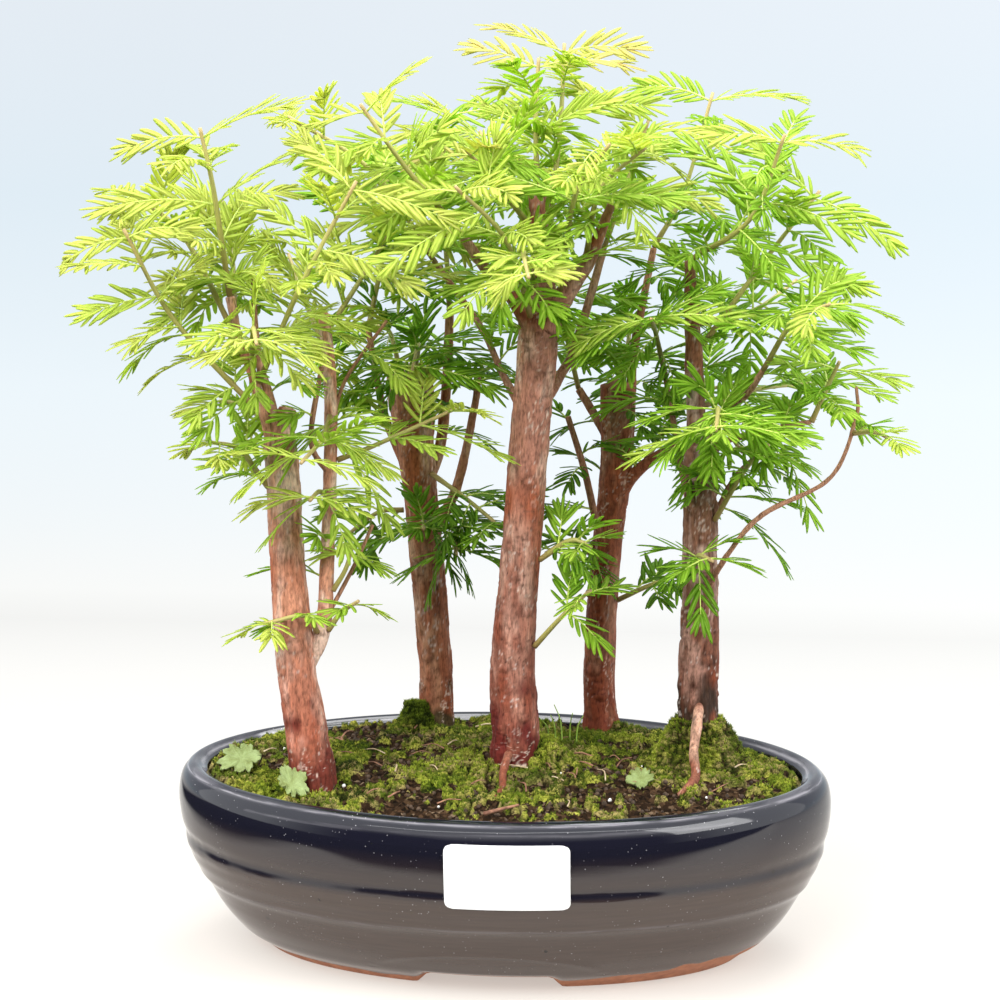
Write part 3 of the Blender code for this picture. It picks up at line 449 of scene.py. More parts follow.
verts = np.stack([x, y, heights], -1).reshape(-1, 3)
tray_mesh = closed_rings("tray", verts, len(stations), TRAY_TURNS)
level = verts[:, 2]
row = np.repeat(station, TRAY_TURNS)
ragged = 4.4 + 1.6 * noise(verts / 9.0, 5) + 5.0 * np.clip((verts[:, 0] - 20) / 60, 0, 1)
mask = np.clip((ragged - (level - (lift * low).ravel())) / 0.7, 0, 1) * (row < len(under) + BARE_ROWS)
mask = np.maximum(mask, row < len(under))
wander = level + 0.7 * np.sin(2 * turns + 1.0)[None].repeat(len(stations), 0).ravel()
# Browner towards the foot, except in the groove near 50 mm. This is partly thinner glaze and partly a painted
# warm reflection of the floor.
thin = np.clip((68 - level) / 22, 0, 1) * (1 - 0.95 * np.exp(-((wander - 50) / 2.3) ** 2))
thin *= row < len(under) + THIN_ROWS
beside = np.abs(verts[:, 0])
# Pale lines, partly painted light: on the lip's shoulder at 79.3 mm, partly thinner glaze and partly a
# painted highlight; a painted highlight on the ridge at 33.5 mm; a painted reflection on the lip's top
# towards the ends; a painted reflection streak along 75.5 mm away from the ends
edge_and_highlight_lines = (row < len(under) + CREST_ROWS) * np.exp(-((level - 79.3) / 0.35) ** 2)
edge_and_highlight_lines = edge_and_highlight_lines + 0.25 * np.exp(-((wander - 33.5) / 0.7) ** 2)
edge_and_highlight_lines += 0.35 * np.clip((level - 78.0) / 1.5, 0, 1) * np.clip((beside - 85) / 45, 0, 1)
edge_and_highlight_lines += 0.30 * np.exp(-((wander - 75.5) / 0.4) ** 2) * (row < len(under) + THIN_ROWS) * (beside < 100)
for part, values in (("bare", mask), ("thin", thin), ("edge", edge_and_highlight_lines)):
    give(tray_mesh, part, values)
dress(new_piece("tray", tray_mesh, glaze()), "pot_glaze", "pot")

# Drain screens: two squares of black plastic mesh that keep the soil in. The carried-over nodes are right as
# they are and get a scuffed plastic finish.
screen, tree, shader = finish_of("screen_plastic", 0.55)
scuff = ramp(tree, cloud(tree, own_spot(tree), 700.0, 3.0), (0.3, (0.012,) * 3), (0.8, (0.04,) * 3))
tree.links.new(scuff, shader.inputs["Base Color"])
for side in ("left", "right"):
    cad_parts["drain_mesh_" + side].data.materials.clear()
    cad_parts["drain_mesh_" + side].data.materials.append(screen)

# Paper label: a blank white sticker with round corners on the front wall, bridging the ridges a hair off the
# glaze. Its sheet has a face, a back and an edge.
LABEL_SPAN = (-14.0, 36.0)
LABEL_RISE = (45.5, 73.0)
LABEL_CORNER = 3.0
LABEL_OFF = 0.45
LABEL_THICK = 0.2
LABEL_COLUMNS = 61
LABEL_ROWS = 41


def wall_front(x, height):
    """Y of the front wall at x and a height, on the oval (x/a)^n + (y/b)^n = 1 less the wall's inset."""
    levels = np.array(WALL_OUTSIDE[:18])
    inset = np.interp(height, levels[:, 0], levels[:, 1])
    share = np.clip(np.abs(x) / (HALF_LENGTH - inset), 0, 1) ** OVAL_POWER
    return -(HALF_DEPTH - inset) * (1 - share) ** (1 / OVAL_POWER)


def rim_of(rows, columns):
    """The outer points of a grid in order, against the clock."""
    return np.concatenate([np.arange(columns), np.arange(1, rows) * columns + columns - 1,
                           (rows - 1) * columns + np.arange(columns - 2, -1, -1),
                           np.arange(rows - 2, 0, -1) * columns])


def roughen(tree, shader, height, strength, distance):
    """Relief too fine for the mesh: a pattern's height as a bump, its depth in metres."""
    bump = node(tree, "Bump", Height=height, Strength=strength, Distance=distance)
    tree.links.new(bump.outputs[0], shader.inputs["Normal"])


s, z = np.meshgrid(np.linspace(-1, 1, LABEL_COLUMNS), np.linspace(*LABEL_RISE, LABEL_ROWS))
from_edge = np.minimum(z - LABEL_RISE[0], LABEL_RISE[1] - z)
tuck = LABEL_CORNER - np.sqrt(np.maximum(LABEL_CORNER ** 2 - np.maximum(LABEL_CORNER - from_edge, 0) ** 2, 0))
half = (LABEL_SPAN[1] - LABEL_SPAN[0]) / 2 - tuck
x = sum(LABEL_SPAN) / 2 + s * half
y = wall_front(x, z)
curl = 0.25 * np.clip((np.abs(s) - 0.9) / 0.1, 0, 1) * (z > 66)
face = np.stack([x, y - LABEL_OFF - LABEL_THICK - curl, z], -1).reshape(-1, 3)
reverse = np.stack([x, y - LABEL_OFF - curl, z], -1).reshape(-1, 3)
count = LABEL_ROWS * LABEL_COLUMNS
quads = grid_faces(LABEL_ROWS, LABEL_COLUMNS)
rim = rim_of(LABEL_ROWS, LABEL_COLUMNS)
after = np.roll(rim, -1)
edge = np.stack([after, rim, rim + count, after + count], -1)
label_mesh = mesh_of("label", np.vstack([face, reverse]), quads, quads[:, ::-1] + count, edge)
label_mesh.set_sharp_from_angle(angle=math.radians(40))
sticker, tree, shader = finish_of("label_paper", 0.42, Coat_Weight=0.15, Coat_Roughness=0.2)
fibre = cloud(tree, own_spot(tree), 900.0, 4.0)
white = ramp(tree, fibre, (0.3, (0.80, 0.80, 0.81)), (0.7, (0.86, 0.86, 0.86)))
tree.links.new(white, shader.inputs["Base Color"])
roughen(tree, shader, fibre, 0.1, 0.0001)
dress(new_piece("label_sheet", label_mesh, sticker), "label_paper", "label")

# Soil: dark grit, bark crumbs and clay grains that fill the tray in a low dome, with soft moss over most of
# it. One body: its top is a fine grid, its sides follow the tray's wall a hair inside.
SOIL_EDGE = 74.0
SOIL_RISE = 7.0
SOIL_GAP = 0.4
LONG_ROLL = (1.0, 17.0, 13.0)
SHORT_ROLL = (0.6, 9.0)
ROLL_PHASE = 1.3
SOIL_COLUMNS = 372
SOIL_ROWS = 250
EDGE_INSET = 11.667


def outness(x, y):
    """The square of how far out a place is: 0 in the middle of the tray and about 1 at the lip."""
    return (x / (HALF_LENGTH - EDGE_INSET)) ** 2 + (y / (HALF_DEPTH - EDGE_INSET)) ** 2


def soil_height(x, y):
    """The dome 74 + 7 (1 - rho) with two gentle waves that fade towards the lip."""
    rho = outness(x, y)
    fade = np.maximum(0.0, 1.0 - rho ** 2)
    rolls = LONG_ROLL[0] * np.sin(x / LONG_ROLL[1] + ROLL_PHASE) * np.cos(y / LONG_ROLL[2])
    rolls = rolls + SHORT_ROLL[0] * np.sin((x + 2 * y) / SHORT_ROLL[1])
    return SOIL_EDGE + SOIL_RISE * np.maximum(0.0, 1.0 - rho) + fade * rolls


def level_points(x, y, scale):
    """Points of the level plane, scaled so that noise on them has lumps of that width."""
    return np.stack([x / scale, y / scale, 0 * x], -1)


def moss_cover(x, y):
    """How much moss grows at a place, 0 to 1: broad patches broken up by smaller bare spots."""
    broad = 0.8 * noise(level_points(x, y, 26.0), 11) + 0.5 * noise(level_points(x, y, 9.0), 12)
    fine = 0.85 * noise(level_points(x, y, 3.1), 13)
    bare = 0.8 * np.exp(-((x - 5) / 75) ** 2 - ((y + 58) / 22) ** 2)
    bare = bare + 0.5 * np.exp(-((x + 45) / 22) ** 2 - (y / 30) ** 2)
    return np.clip((broad + fine - bare + 0.38) / 0.45, 0, 1)


def folded(broad, fine):
    """Two noises folded at 0 and added, so that round crowns, 1, meet in clefts, -1."""
    return np.clip(1.6 * np.abs(broad) + 2.6 * np.abs(fine) - 1, -1, 1)


def moss_lumps(x, y):
    """The soil's moss: cushions about 8 mm wide, made of crumbs of about 3 mm."""
    return folded(noise(level_points(x, y, 8.0), 23), noise(level_points(x, y, 2.7), 24))


def moss_bed(x, y):
    """Height of the litter under the moss, banked up along the lip at the back left; and its fade."""
    rho = outness(x, y)
    fade = np.clip((1 - rho) / 0.05, 0, 1)
    bank = 2.2 * np.clip((rho - 0.55) / 0.3, 0, 1) * np.clip(0.5 - x / 90 + y / 90, 0, 1)
    return soil_height(x, y) + fade * (0.9 + bank), fade


def soil_surface(x, y):
    """Soil height with a litter of grains 1 to 4 mm across, and cushions of moss on top where moss grows."""
    grains = sum(size * noise(level_points(x, y, wide), seed)
                 for size, wide, seed in ((0.8, 4.3, 20), (0.75, 2.1, 21), (0.45, 1.1, 22)))
    lumps = 1.5 * moss_lumps(x, y) + 0.6 * noise(level_points(x, y, 1.5), 25)
    cover = moss_cover(x, y)
    bed, fade = moss_bed(x, y)
    return bed + fade * (grains * (1 - 0.5 * cover) + cover * (1.2 + lumps))


def moss_colour(tree, spot, crown):
    """Moss: almost black in clefts, a painted shade, olive on the flanks and yellow-green or brown on the
    crowns; the fine hollows get a painted shade too.
    """
    broad = cloud(tree, spot, 38.0, 3.0)
    fine = cloud(tree, spot, 1300.0, 4.0, Roughness=0.7)
    fresh = ramp(tree, broad, (0.34, (0.13, 0.19, 0.014)), (0.46, (0.38, 0.39, 0.055)),
                 (0.56, (0.36, 0.28, 0.11)), (0.66, (0.12, 0.16, 0.018)))
    # Painted shade: where the crowns are low, in the clefts between cushions, the moss is almost black
    deep = ramp(tree, broad, (0.40, (0.022, 0.034, 0.004)), (0.62, (0.035, 0.024, 0.009)))
    colour = blend(tree, ramp(tree, crown, *grey(0.28, 0.98)), deep, fresh)
    # Painted shade in the fine hollows of the bump
    shade = blend(tree, 1.0, colour, (0.16, 0.18, 0.14), "MULTIPLY")
    return blend(tree, ramp(tree, fine, *grey(0.38, 0.60)), shade, colour), fine


def earth():
    """Wet dark grit under moss: the moss share and the lumps' crowns come from the surface's attributes."""
    made, tree, shader = finish_of("soil_and_moss", 0.95, Specular_IOR_Level=0.08)
    spot = own_spot(tree)
    grain = node(tree, "TexVoronoi", Vector=spot, Scale=620.0).outputs["Color"]
    grain = node(tree, "SeparateColor", Color=grain).outputs[0]
    grit = ramp(tree, grain, (0.0, (0.008, 0.005, 0.003)), (0.6, (0.028, 0.015, 0.008)),
                (0.93, (0.075, 0.042, 0.022)), (1.0, (0.20, 0.14, 0.09)))
    green, fine = moss_colour(tree, spot, carried(tree, "crown"))
    cover = ramp(tree, sums(tree, "MULTIPLY_ADD", fine, 1.2, carried(tree, "cover")), *grey(0.85, 1.15))
    tree.links.new(blend(tree, cover, grit, green), shader.inputs["Base Color"])
    roughen(tree, shader, fine, 0.8, 0.001)
    return made


def oval_grid(rows, columns, inset):
    """A square grid bent over the oval: x = u sqrt(1 - v^2/2) and y = v sqrt(1 - u^2/2), scaled out."""
    u, v = np.meshgrid(np.linspace(-1, 1, columns), np.linspace(-1, 1, rows))
    cx, cy = u * np.sqrt(1 - v * v / 2), v * np.sqrt(1 - u * u / 2)
    rim_x, rim_y = oval(np.arctan2(cy, cx), inset)
    reach = np.hypot(cx, cy)
    return rim_x * reach, rim_y * reach


x, y = oval_grid(SOIL_ROWS, SOIL_COLUMNS, EDGE_INSET)
top = np.stack([x, y, soil_surface(x, y)], -1).reshape(-1, 3)
rim = rim_of(SOIL_ROWS, SOIL_COLUMNS)
bearing = np.arctan2(top[rim, 1] / (HALF_DEPTH - EDGE_INSET), top[rim, 0] / (HALF_LENGTH - EDGE_INSET))
turn = np.arctan2(np.sign(np.sin(bearing)) * np.abs(np.sin(bearing)) ** (OVAL_POWER / 2),
                  np.sign(np.cos(bearing)) * np.abs(np.cos(bearing)) ** (OVAL_POWER / 2))
side_rings = []
for height, inset in WALL_INSIDE:
    rx, ry = oval(turn, inset + SOIL_GAP)
    side_rings.append(np.stack([rx, ry, np.full(len(rim), height + SOIL_GAP)], -1))
rings = np.vstack(side_rings)
start = len(top)
ring_ids = np.vstack([rim] + [start + k * len(rim) + np.arange(len(rim)) for k in range(len(WALL_INSIDE))])
next_ids = np.roll(ring_ids, -1, axis=1)
sides = np.stack([next_ids[:-1], ring_ids[:-1], ring_ids[1:], next_ids[1:]], -1).reshape(-1, 4)
soil_mesh = mesh_of("soil", np.vstack([top, rings]), grid_faces(SOIL_ROWS, SOIL_COLUMNS), sides,
                    ring_ids[-1][None, ::-1])
for part, values in (("cover", moss_cover(x, y)), ("crown", 0.5 + 0.5 * moss_lumps(x, y))):
    give(soil_mesh, part, np.append(values.ravel(), np.zeros(len(rings))))
dress(new_piece("soil_and_moss", soil_mesh, earth()), "soil", "soil")

# Trees: five grown stems, each one piece with its roots and woody limbs. Each limb is a row of points with a
# radius; bark relief is added to the tubes as smooth noise drawn out along the stem, in plates.
TREES = {
    "front_left": {
        "trunk": [(-76, -38, 79, 9.2), (-77, -38, 96, 8.9), (-82, -37, 131, 8.1), (-85, -35, 171, 7.2),
                  (-87, -34, 211, 6.9), (-88, -33, 224, 6.7), (-85, -32, 237, 3.5)],
        "leader": [(-89, -36, 206, 3.4), (-91, -40, 227, 2.3), (-97, -45, 254, 1.9), (-101, -48, 266, 1.8),
                   (-104, -50, 284, 2.0)],
        "leader_twin": [(-87, -36, 211, 2.4), (-89, -40, 236, 2.0), (-94, -40, 254, 1.7),
                        (-96, -39, 268, 1.3), (-97, -38, 290, 0.9)],
        "second": [(-81, -35, 128, 4.0), (-72, -32, 144, 3.4), (-70, -28, 173, 3.0), (-69, -20, 235, 2.8),
                   (-72, -16, 274, 2.5)],
        "second_side": [(-69, -23, 208, 1.3), (-76, -28, 223, 1.2), (-71, -30, 254, 1.0)],
        "twig": [(-71, -30, 148, 1.0), (-60, -25, 169, 0.8), (-52, -20, 187, 0.7)],
        "twig_high": [(-69, -21, 229, 1.0), (-63, -15, 248, 0.8), (-47, -10, 271, 0.7)],
    },
    "back_left": {
        "trunk": [(-37, 66, 80, 7.5), (-37, 66, 100, 7.7), (-40, 64, 148, 7.4), (-44, 61, 194, 7.8),
                  (-47, 60, 229, 10.0), (-47, 60, 241, 10.2)],
        "right": [(-38, 62, 169, 2.8), (-26, 52, 190, 2.2), (-17, 45, 227, 1.7), (-15, 42, 242, 1.5)],
        "right_high": [(-42, 61, 188, 2.7), (-35, 66, 206, 2.5), (-32, 70, 238, 2.2), (-31, 72, 266, 2.0)],
        "left": [(-46, 61, 190, 2.4), (-57, 64, 214, 1.8), (-62, 66, 231, 1.6), (-67, 68, 259, 1.3)],
    },
    "centre": {
        "trunk": [(5, -5, 80, 9.4), (6, -5, 96, 9.8), (5, -5, 125, 9.5), (8, -6, 167, 8.4),
                  (11, -7, 208, 8.3), (15, -8, 255, 8.0), (16, -8, 276, 8.4)],
        "left": [(14, -10, 268, 3.1), (3, -16, 285, 2.5), (-5, -20, 294, 2.2), (-14, -24, 308, 1.9)],
        "middle": [(18, -2, 268, 5.0), (17, 2, 285, 4.8), (16, 4, 300, 4.5), (14, 6, 325, 3.6)],
        "right": [(18, -9, 269, 4.6), (31, -10, 289, 3.8), (37, -10, 298, 3.1), (46, -14, 320, 1.7)],
        "back_right": [(14, -4, 230, 2.8), (23, 14, 246, 2.2), (29, 20, 258, 2.0), (40, 30, 298, 1.7)],
        "low_left": [(12, -3, 228, 2.2), (0, 8, 246, 1.5), (-11, 14, 267, 1.3), (-30, 20, 292, 1.2)],
        "root": [(5, -9, 89, 2.2), (4, -15, 88, 1.9), (3, -26, 0, 1.7), (4, -38, 0, 1.4), (2, -50, 0, 0.8)],
    },
    "back_right": {
        "trunk": [(38, 66, 81, 7.5), (37, 66, 109, 7.0), (40, 64, 161, 6.7), (44, 62, 197, 7.0),
                  (45, 60, 236, 7.9)],
        "low_left": [(40, 62, 164, 2.2), (36, 56, 176, 1.8), (31, 50, 200, 1.5), (24, 46, 224, 1.3)],
        "right": [(43, 62, 182, 3.3), (50, 60, 194, 2.9), (60, 56, 204, 2.4), (77, 50, 215, 1.5)],
        "high_left": [(43, 61, 209, 2.4), (35, 66, 221, 2.0), (27, 70, 233, 1.8)],
        "leader": [(45, 62, 214, 3.2), (50, 68, 231, 2.2), (51, 72, 250, 2.0), (59, 80, 295, 1.5)],
    },
    "front_right": {
        "trunk": [(83, 15, 80, 8.6), (83, 15, 123, 8.1), (83, 15, 166, 7.6), (83, 14, 206, 6.7),
                  (83, 13, 218, 6.3)],
        "leader": [(82, 14, 207, 4.6), (80, 12, 237, 4.0), (79, 11, 260, 3.5), (77, 10, 295, 2.1)],
        "right": [(83, 11, 213, 2.3), (91, 4, 229, 1.7), (102, -2, 242, 1.4), (108, -6, 252, 1.2)],
        "flat_right": [(81, 13, 214, 2.0), (93, 10, 220, 1.4), (112, 4, 226, 1.2), (128, 0, 230, 1.0)],
        "low_right": [(83, 14, 178, 2.0), (91, 16, 192, 1.3), (98, 20, 204, 1.3), (110, 24, 215, 1.1)],
        "bare_twig": [(84, 12, 152, 1.6), (95, -6, 175, 1.1), (109, -12, 193, 1.1), (136, -14, 209, 0.9),
                      (146, -10, 233, 0.8), (146, -10, 246, 0.7)],
        "left": [(83, 16, 176, 2.0), (76, 26, 197, 1.5), (71, 32, 221, 1.3), (66, 36, 246, 1.2)],
        "root": [(85, 14, 113, 0.5), (84, 9.5, 108, 1.4), (83, 2.5, 101, 2.4), (82, -4, 92, 2.1),
                 (82, -8, 89, 2.0), (83, -14, 0, 2.1), (81, -26, 0, 1.7), (77, -37, 0, 0.9)],
    },
}
# Bark of each tree: main colour, worn patches, warm patches, foot, the top of the foot, the relief of its
# plates in millimetres and how strongly it cracks across
BARK = {
    "front_left": ((0.60, 0.285, 0.18), (0.82, 0.57, 0.45), (0.42, 0.130, 0.062),
                   (0.14, 0.027, 0.016), 106, 0.40, 0.5),
    "back_left": ((0.41, 0.175, 0.088), (0.56, 0.35, 0.21), (0.37, 0.120, 0.045),
                  (0.07, 0.045, 0.018), 93, 0.60, 0.5),
    "centre": ((0.42, 0.190, 0.130), (0.65, 0.41, 0.31), (0.36, 0.100, 0.046),
               (0.13, 0.019, 0.014), 110, 0.40, 0.8),
    "back_right": ((0.28, 0.085, 0.040), (0.40, 0.20, 0.12), (0.35, 0.095, 0.035),
                   (0.20, 0.045, 0.022), 86, 0.30, 0.6),
    "front_right": ((0.27, 0.135, 0.083), (0.55, 0.41, 0.33), (0.33, 0.110, 0.050),
                    (0.045, 0.022, 0.013), 122, 0.95, 0.6),
}
# Knots on a stem: height, bearing in degrees (270 faces the front), radius and height over the bark
KNOTS = {
    "front_left": [(118, 230, 2.6, 0.9), (140, 285, 3.2, 1.0), (166, 250, 2.2, 0.8), (190, 300, 2.6, 0.9),
                   (204, 240, 2.2, 0.8), (152, 60, 2.8, 1.0), (180, 130, 2.4, 0.9)],
    "back_left": [(112, 250, 2.6, 0.9), (134, 290, 2.4, 0.8), (158, 240, 3.0, 1.2), (176, 120, 2.6, 1.0)],
    "centre": [(104, 300, 2.2, 0.7), (126, 250, 2.4, 0.8), (150, 310, 2.8, 0.9), (177, 235, 2.2, 0.7),
               (205, 285, 2.6, 0.8), (238, 320, 3.0, 1.3), (140, 80, 2.6, 0.9), (210, 120, 2.6, 0.9)],
    "back_right": [(96, 285, 3.0, 1.0), (108, 250, 3.4, 1.0), (142, 190, 2.4, 1.6), (164, 185, 2.6, 1.8),
                   (190, 300, 2.4, 0.8)],
    "front_right": [(126, 300, 2.8, 1.0), (146, 240, 2.8, 1.2), (170, 280, 3.0, 1.0), (190, 250, 2.4, 0.9),
                    (160, 90, 2.8, 1.0)],
}
STEM_DEPTH = 24.0
ROOT_LIFT = 1.8
TRUNK_STEP = 0.8
LIMB_STEP = 1.2
TRUNK_SIDES = 84
LIMB_SIDES = 24


def unit(v):
    """Vectors brought to length 1."""
    return v / np.linalg.norm(v, axis=-1, keepdims=True)


def travelled(path):
    """The length along a path up to each of its points."""
    return np.concatenate([[0], np.cumsum(np.linalg.norm(np.diff(path, axis=0), axis=1))])


def tube(path, radii, sides, cap=0.4):
    """Points of a closed tube along a path, its outward directions and its faces.

    Each ring lies square to the path on two directions: one is the reference axis least along the path,
    made square to it, and the other their cross product. Each end closes in a pole a little beyond it.
    """
    along = unit(np.gradient(path, axis=0))
    lead = np.eye(3)[np.argmin(np.abs(path[-1] - path[0]))]
    first = unit(lead - along * (along @ lead)[:, None])
    second = np.cross(along, first)
    turn = np.arange(sides) * 2 * math.pi / sides
    out = first[:, None] * np.cos(turn)[None, :, None] + second[:, None] * np.sin(turn)[None, :, None]
    ring = path[:, None] + out * np.asarray(radii)[:, None, None]
    poles = [path[0] - along[0] * radii[0] * cap, path[-1] + along[-1] * radii[-1] * cap]
    verts = np.vstack([ring.reshape(-1, 3), poles])
    outward = np.vstack([out.reshape(-1, 3), -along[0], along[-1]])
    count = len(path) * sides
    j = np.arange(sides)
    nxt = (j + 1) % sides
    ends = np.vstack([np.stack([nxt, j, np.full(sides, count)], -1),
                      np.stack([count - sides + j, count - sides + nxt, np.full(sides, count + 1)], -1)])
    return verts, outward, grid_faces(len(path), sides, True), ends


def limb_rows(tree, limb):
    """A limb's table with the rows that lie on the soil lifted onto it, and the trunk run down into it."""
    rows = np.array(TREES[tree][limb], float)
    flat = rows[:, 2] == 0
    rows[flat, 2] = soil_height(rows[flat, 0], rows[flat, 1]) + rows[flat, 3] + ROOT_LIFT
    if limb == "trunk":
        ground = soil_height(rows[0, 0], rows[0, 1])
        below = rows[0].copy()
        below[2] = ground - STEM_DEPTH
        rows[0, 2] = ground + 4
        rows = np.vstack([below, rows])
    return rows


def toward(colour, other, share):
    """Colours moved towards another by a share at each point."""
    return colour + (np.asarray(other) - colour) * np.clip(share, 0, 1)[:, None]


def bark_coat(points, girth, tree_name, limb):
    """Relief in millimetres and colour of bark.

    Plates 3 mm wide and 10 mm long with dark edges come from noise drawn out along the stem, fibres from
    finer noise drawn out further, and cracks across from noise pressed flat. A ragged wet foot darkens a
    stem. Pale lines, where flakes have lifted, lie over all but the roots, and pale flecks over everything.
    """
    main, pale, warm, foot, foot_top, rough, cracked = BARK[tree_name]
    tall = points * np.array([1.0, 1.0, 0.32])
    scale = np.clip(girth / 6.0, 0.12, 1.0)
    plate = noise(tall / 3.2, 31) + 0.5 * noise(tall / 1.4, 32)
    edge = np.exp(-(plate / 0.12) ** 2)
    plate = np.clip(plate / 0.3, -1, 1)
    fibre = noise(points * np.array([1.0, 1.0, 0.09]) / 0.75, 33)
    crack = np.exp(-(noise(points * np.array([0.8, 0.8, 2.4]) / 5.0, 35) / 0.055) ** 2)
    crack *= np.clip(3 * noise(points / 9.0, 36) + 0.4, 0, 1) * cracked
    flaky = rough * (0.45 * plate - 0.5 * edge + 0.35 * fibre)
    relief = scale * (flaky - 0.5 * crack + 0.35 * noise(points / 14.0, 34))
    colour = np.tile(main, (len(points), 1))
    colour = toward(colour, pale, 1.5 * noise(tall / 6.0, 37) + 1.1 * noise(tall / 2.3, 38) + 0.1)
    colour = toward(colour, warm, 2.0 * noise(tall / 9.0, 39) - 0.25)
    colour = toward(colour, 0.35 * np.array(main), 0.4 * edge * np.clip(scale * 1.4, 0, 1) + 0.9 * crack)
    if limb == "trunk":
        low = np.clip((foot_top + 85 - points[:, 2]) / 85, 0, 1)[:, None]
        colour = colour * (1 - low * np.array([0.32, 0.52, 0.56]))
        reach = 6 + 0.30 * (foot_top - 86)
        wet = (foot_top + 1.5 * reach * noise(points / np.array([5.0, 5.0, 9.0]), 44) - points[:, 2]) / reach
        colour = toward(colour, foot, wet)
        relief = relief + 0.8 * np.clip(wet, 0, 1) * noise(tall / 2.0, 45)
    elif limb == "root":
        skin = np.array((0.46, 0.26, 0.18) if tree_name == "front_right" else (0.24, 0.085, 0.05))
        mottle = 1 + 0.45 * noise(points / 2.2, 49) + 0.35 * noise(points / 0.9, 50) + 0.2 * fibre
        skin = skin * mottle[:, None]
        colour = toward(colour, skin, 0.9 + 0 * girth)
        ends = np.maximum((points[:, 2] - 104) / 4, (88 - points[:, 2]) / 4 + 0.6 * noise(points / 3.0, 55))
        colour = toward(colour, (0.21, 0.055, 0.028), 0.85 * np.clip(ends, 0, 1))
    flake = noise(points * np.array([1.0, 1.0, 0.45]) / 5.5, 46) + 0.35 * noise(points / 1.6, 47)
    flake = np.exp(-((flake - 0.18) / 0.035) ** 2) * np.clip(2.5 * noise(points / 12.0, 48) + 0.6, 0, 1)
    colour = toward(colour, (0.66, 0.52, 0.43), 0.85 * flake * (limb != "root"))
    colour = colour * (1 + 0.28 * fibre + 0.22 * noise(points / 1.1, 43))[:, None]
    fleck = 0.5 * np.clip(7 * noise(points * np.array([1.0, 1.0, 0.7]) / 0.75, 40) - 4.3, 0, 1)
    colour = toward(colour, (0.74, 0.66, 0.60), fleck * np.clip(3 * noise(points / 7.0, 42) + 0.3, 0, 1))
    if limb not in ("trunk", "root"):
        young = np.array([0.42, 0.215, 0.13]) * (1 + 0.2 * fibre)[:, None]
        colour = toward(colour, young, (2.6 - girth) / 1.5)
    return relief, np.clip(colour, 0.004, 0.9)


def bark(tree_name):
    """Bark: the colour that the surface carries, with fine grain on top."""
    made, tree, shader = finish_of("bark_" + tree_name, 0.72, Specular_IOR_Level=0.25)
    spot = own_spot(tree)
    tint = carried(tree, "tint", "Color")
    drawn = node(tree, "Mapping", Vector=spot, Scale=(1.0, 1.0, 0.25)).outputs[0]
    grain = cloud(tree, drawn, 1300.0, 4.0, Roughness=0.6)
    dark = blend(tree, 1.0, tint, (0.45, 0.42, 0.40), "MULTIPLY")
    tree.links.new(blend(tree, ramp(tree, grain, *grey(0.30, 0.55)), dark, tint), shader.inputs["Base Color"])
    roughen(tree, shader, grain, 0.5, 0.0005)
    return made


def wood(tree_name):
    """The tree's stem and limbs as closed tubes that grow out of one another, with bark relief and colour."""
    parts, quads, caps, tints, start = [], [], [], [], 0
    for limb in TREES[tree_name]:
        rows = limb_rows(tree_name, limb)
        length = np.linalg.norm(np.diff(rows[:, :3], axis=0), axis=1).sum()
        trunk = limb == "trunk"
        line = smooth_path(rows, int(length / (TRUNK_STEP if trunk else LIMB_STEP)) + 8)
        radii = line[:, 3].copy()
        if not trunk and limb != "root":
            radii *= 1 + 0.5 * np.exp(-(travelled(line[:, :3]) / (2.2 * radii[0])) ** 2)
        if trunk:
            radii *= 1 + 0.12 * np.exp(-np.clip(line[:, 2] - 78, 0, 99) / 7.0)
        sides = TRUNK_SIDES if trunk else LIMB_SIDES
        verts, out, faces, ends = tube(line[:, :3], radii, sides)
        girth = np.concatenate([np.repeat(radii, sides), radii[[0, -1]]])
        relief, tint = bark_coat(verts, girth, tree_name, limb)
        for height, bearing, wide, high in KNOTS[tree_name] if trunk else []:
            axis = np.array([np.interp(height, line[:, 2], line[:, i]) for i in range(4)])
            face = np.array([math.cos(math.radians(bearing)), math.sin(math.radians(bearing)), 0.0])
            away = (verts - axis[:3] - face * axis[3]) * np.array([1.0, 1.0, 1.25])
            away = np.linalg.norm(away, axis=1) / wide
            relief = relief + high * (0.8 * np.exp(-away ** 2) - 0.35 * np.exp(-((away - 1.2) / 0.3) ** 2))
            tint = toward(tint, 0.5 * tint, 0.7 * np.exp(-((away - 1.15) / 0.22) ** 2))
        parts.append(verts + out * relief[:, None])
        quads.append(faces + start)
        caps.append(ends + start)
        tints.append(tint)
        start += len(verts)
    mesh = mesh_of("wood_" + tree_name, np.vstack(parts), np.vstack(quads), np.vstack(caps))
    give(mesh, "tint", np.column_stack([np.vstack(tints), np.ones(start)]), "FLOAT_COLOR", "color")
    return mesh


for tree_name in TREES:
    piece = new_piece("wood_" + tree_name, wood(tree_name), bark(tree_name))
    dress(piece, "bark_" + tree_name, "tree_" + tree_name)

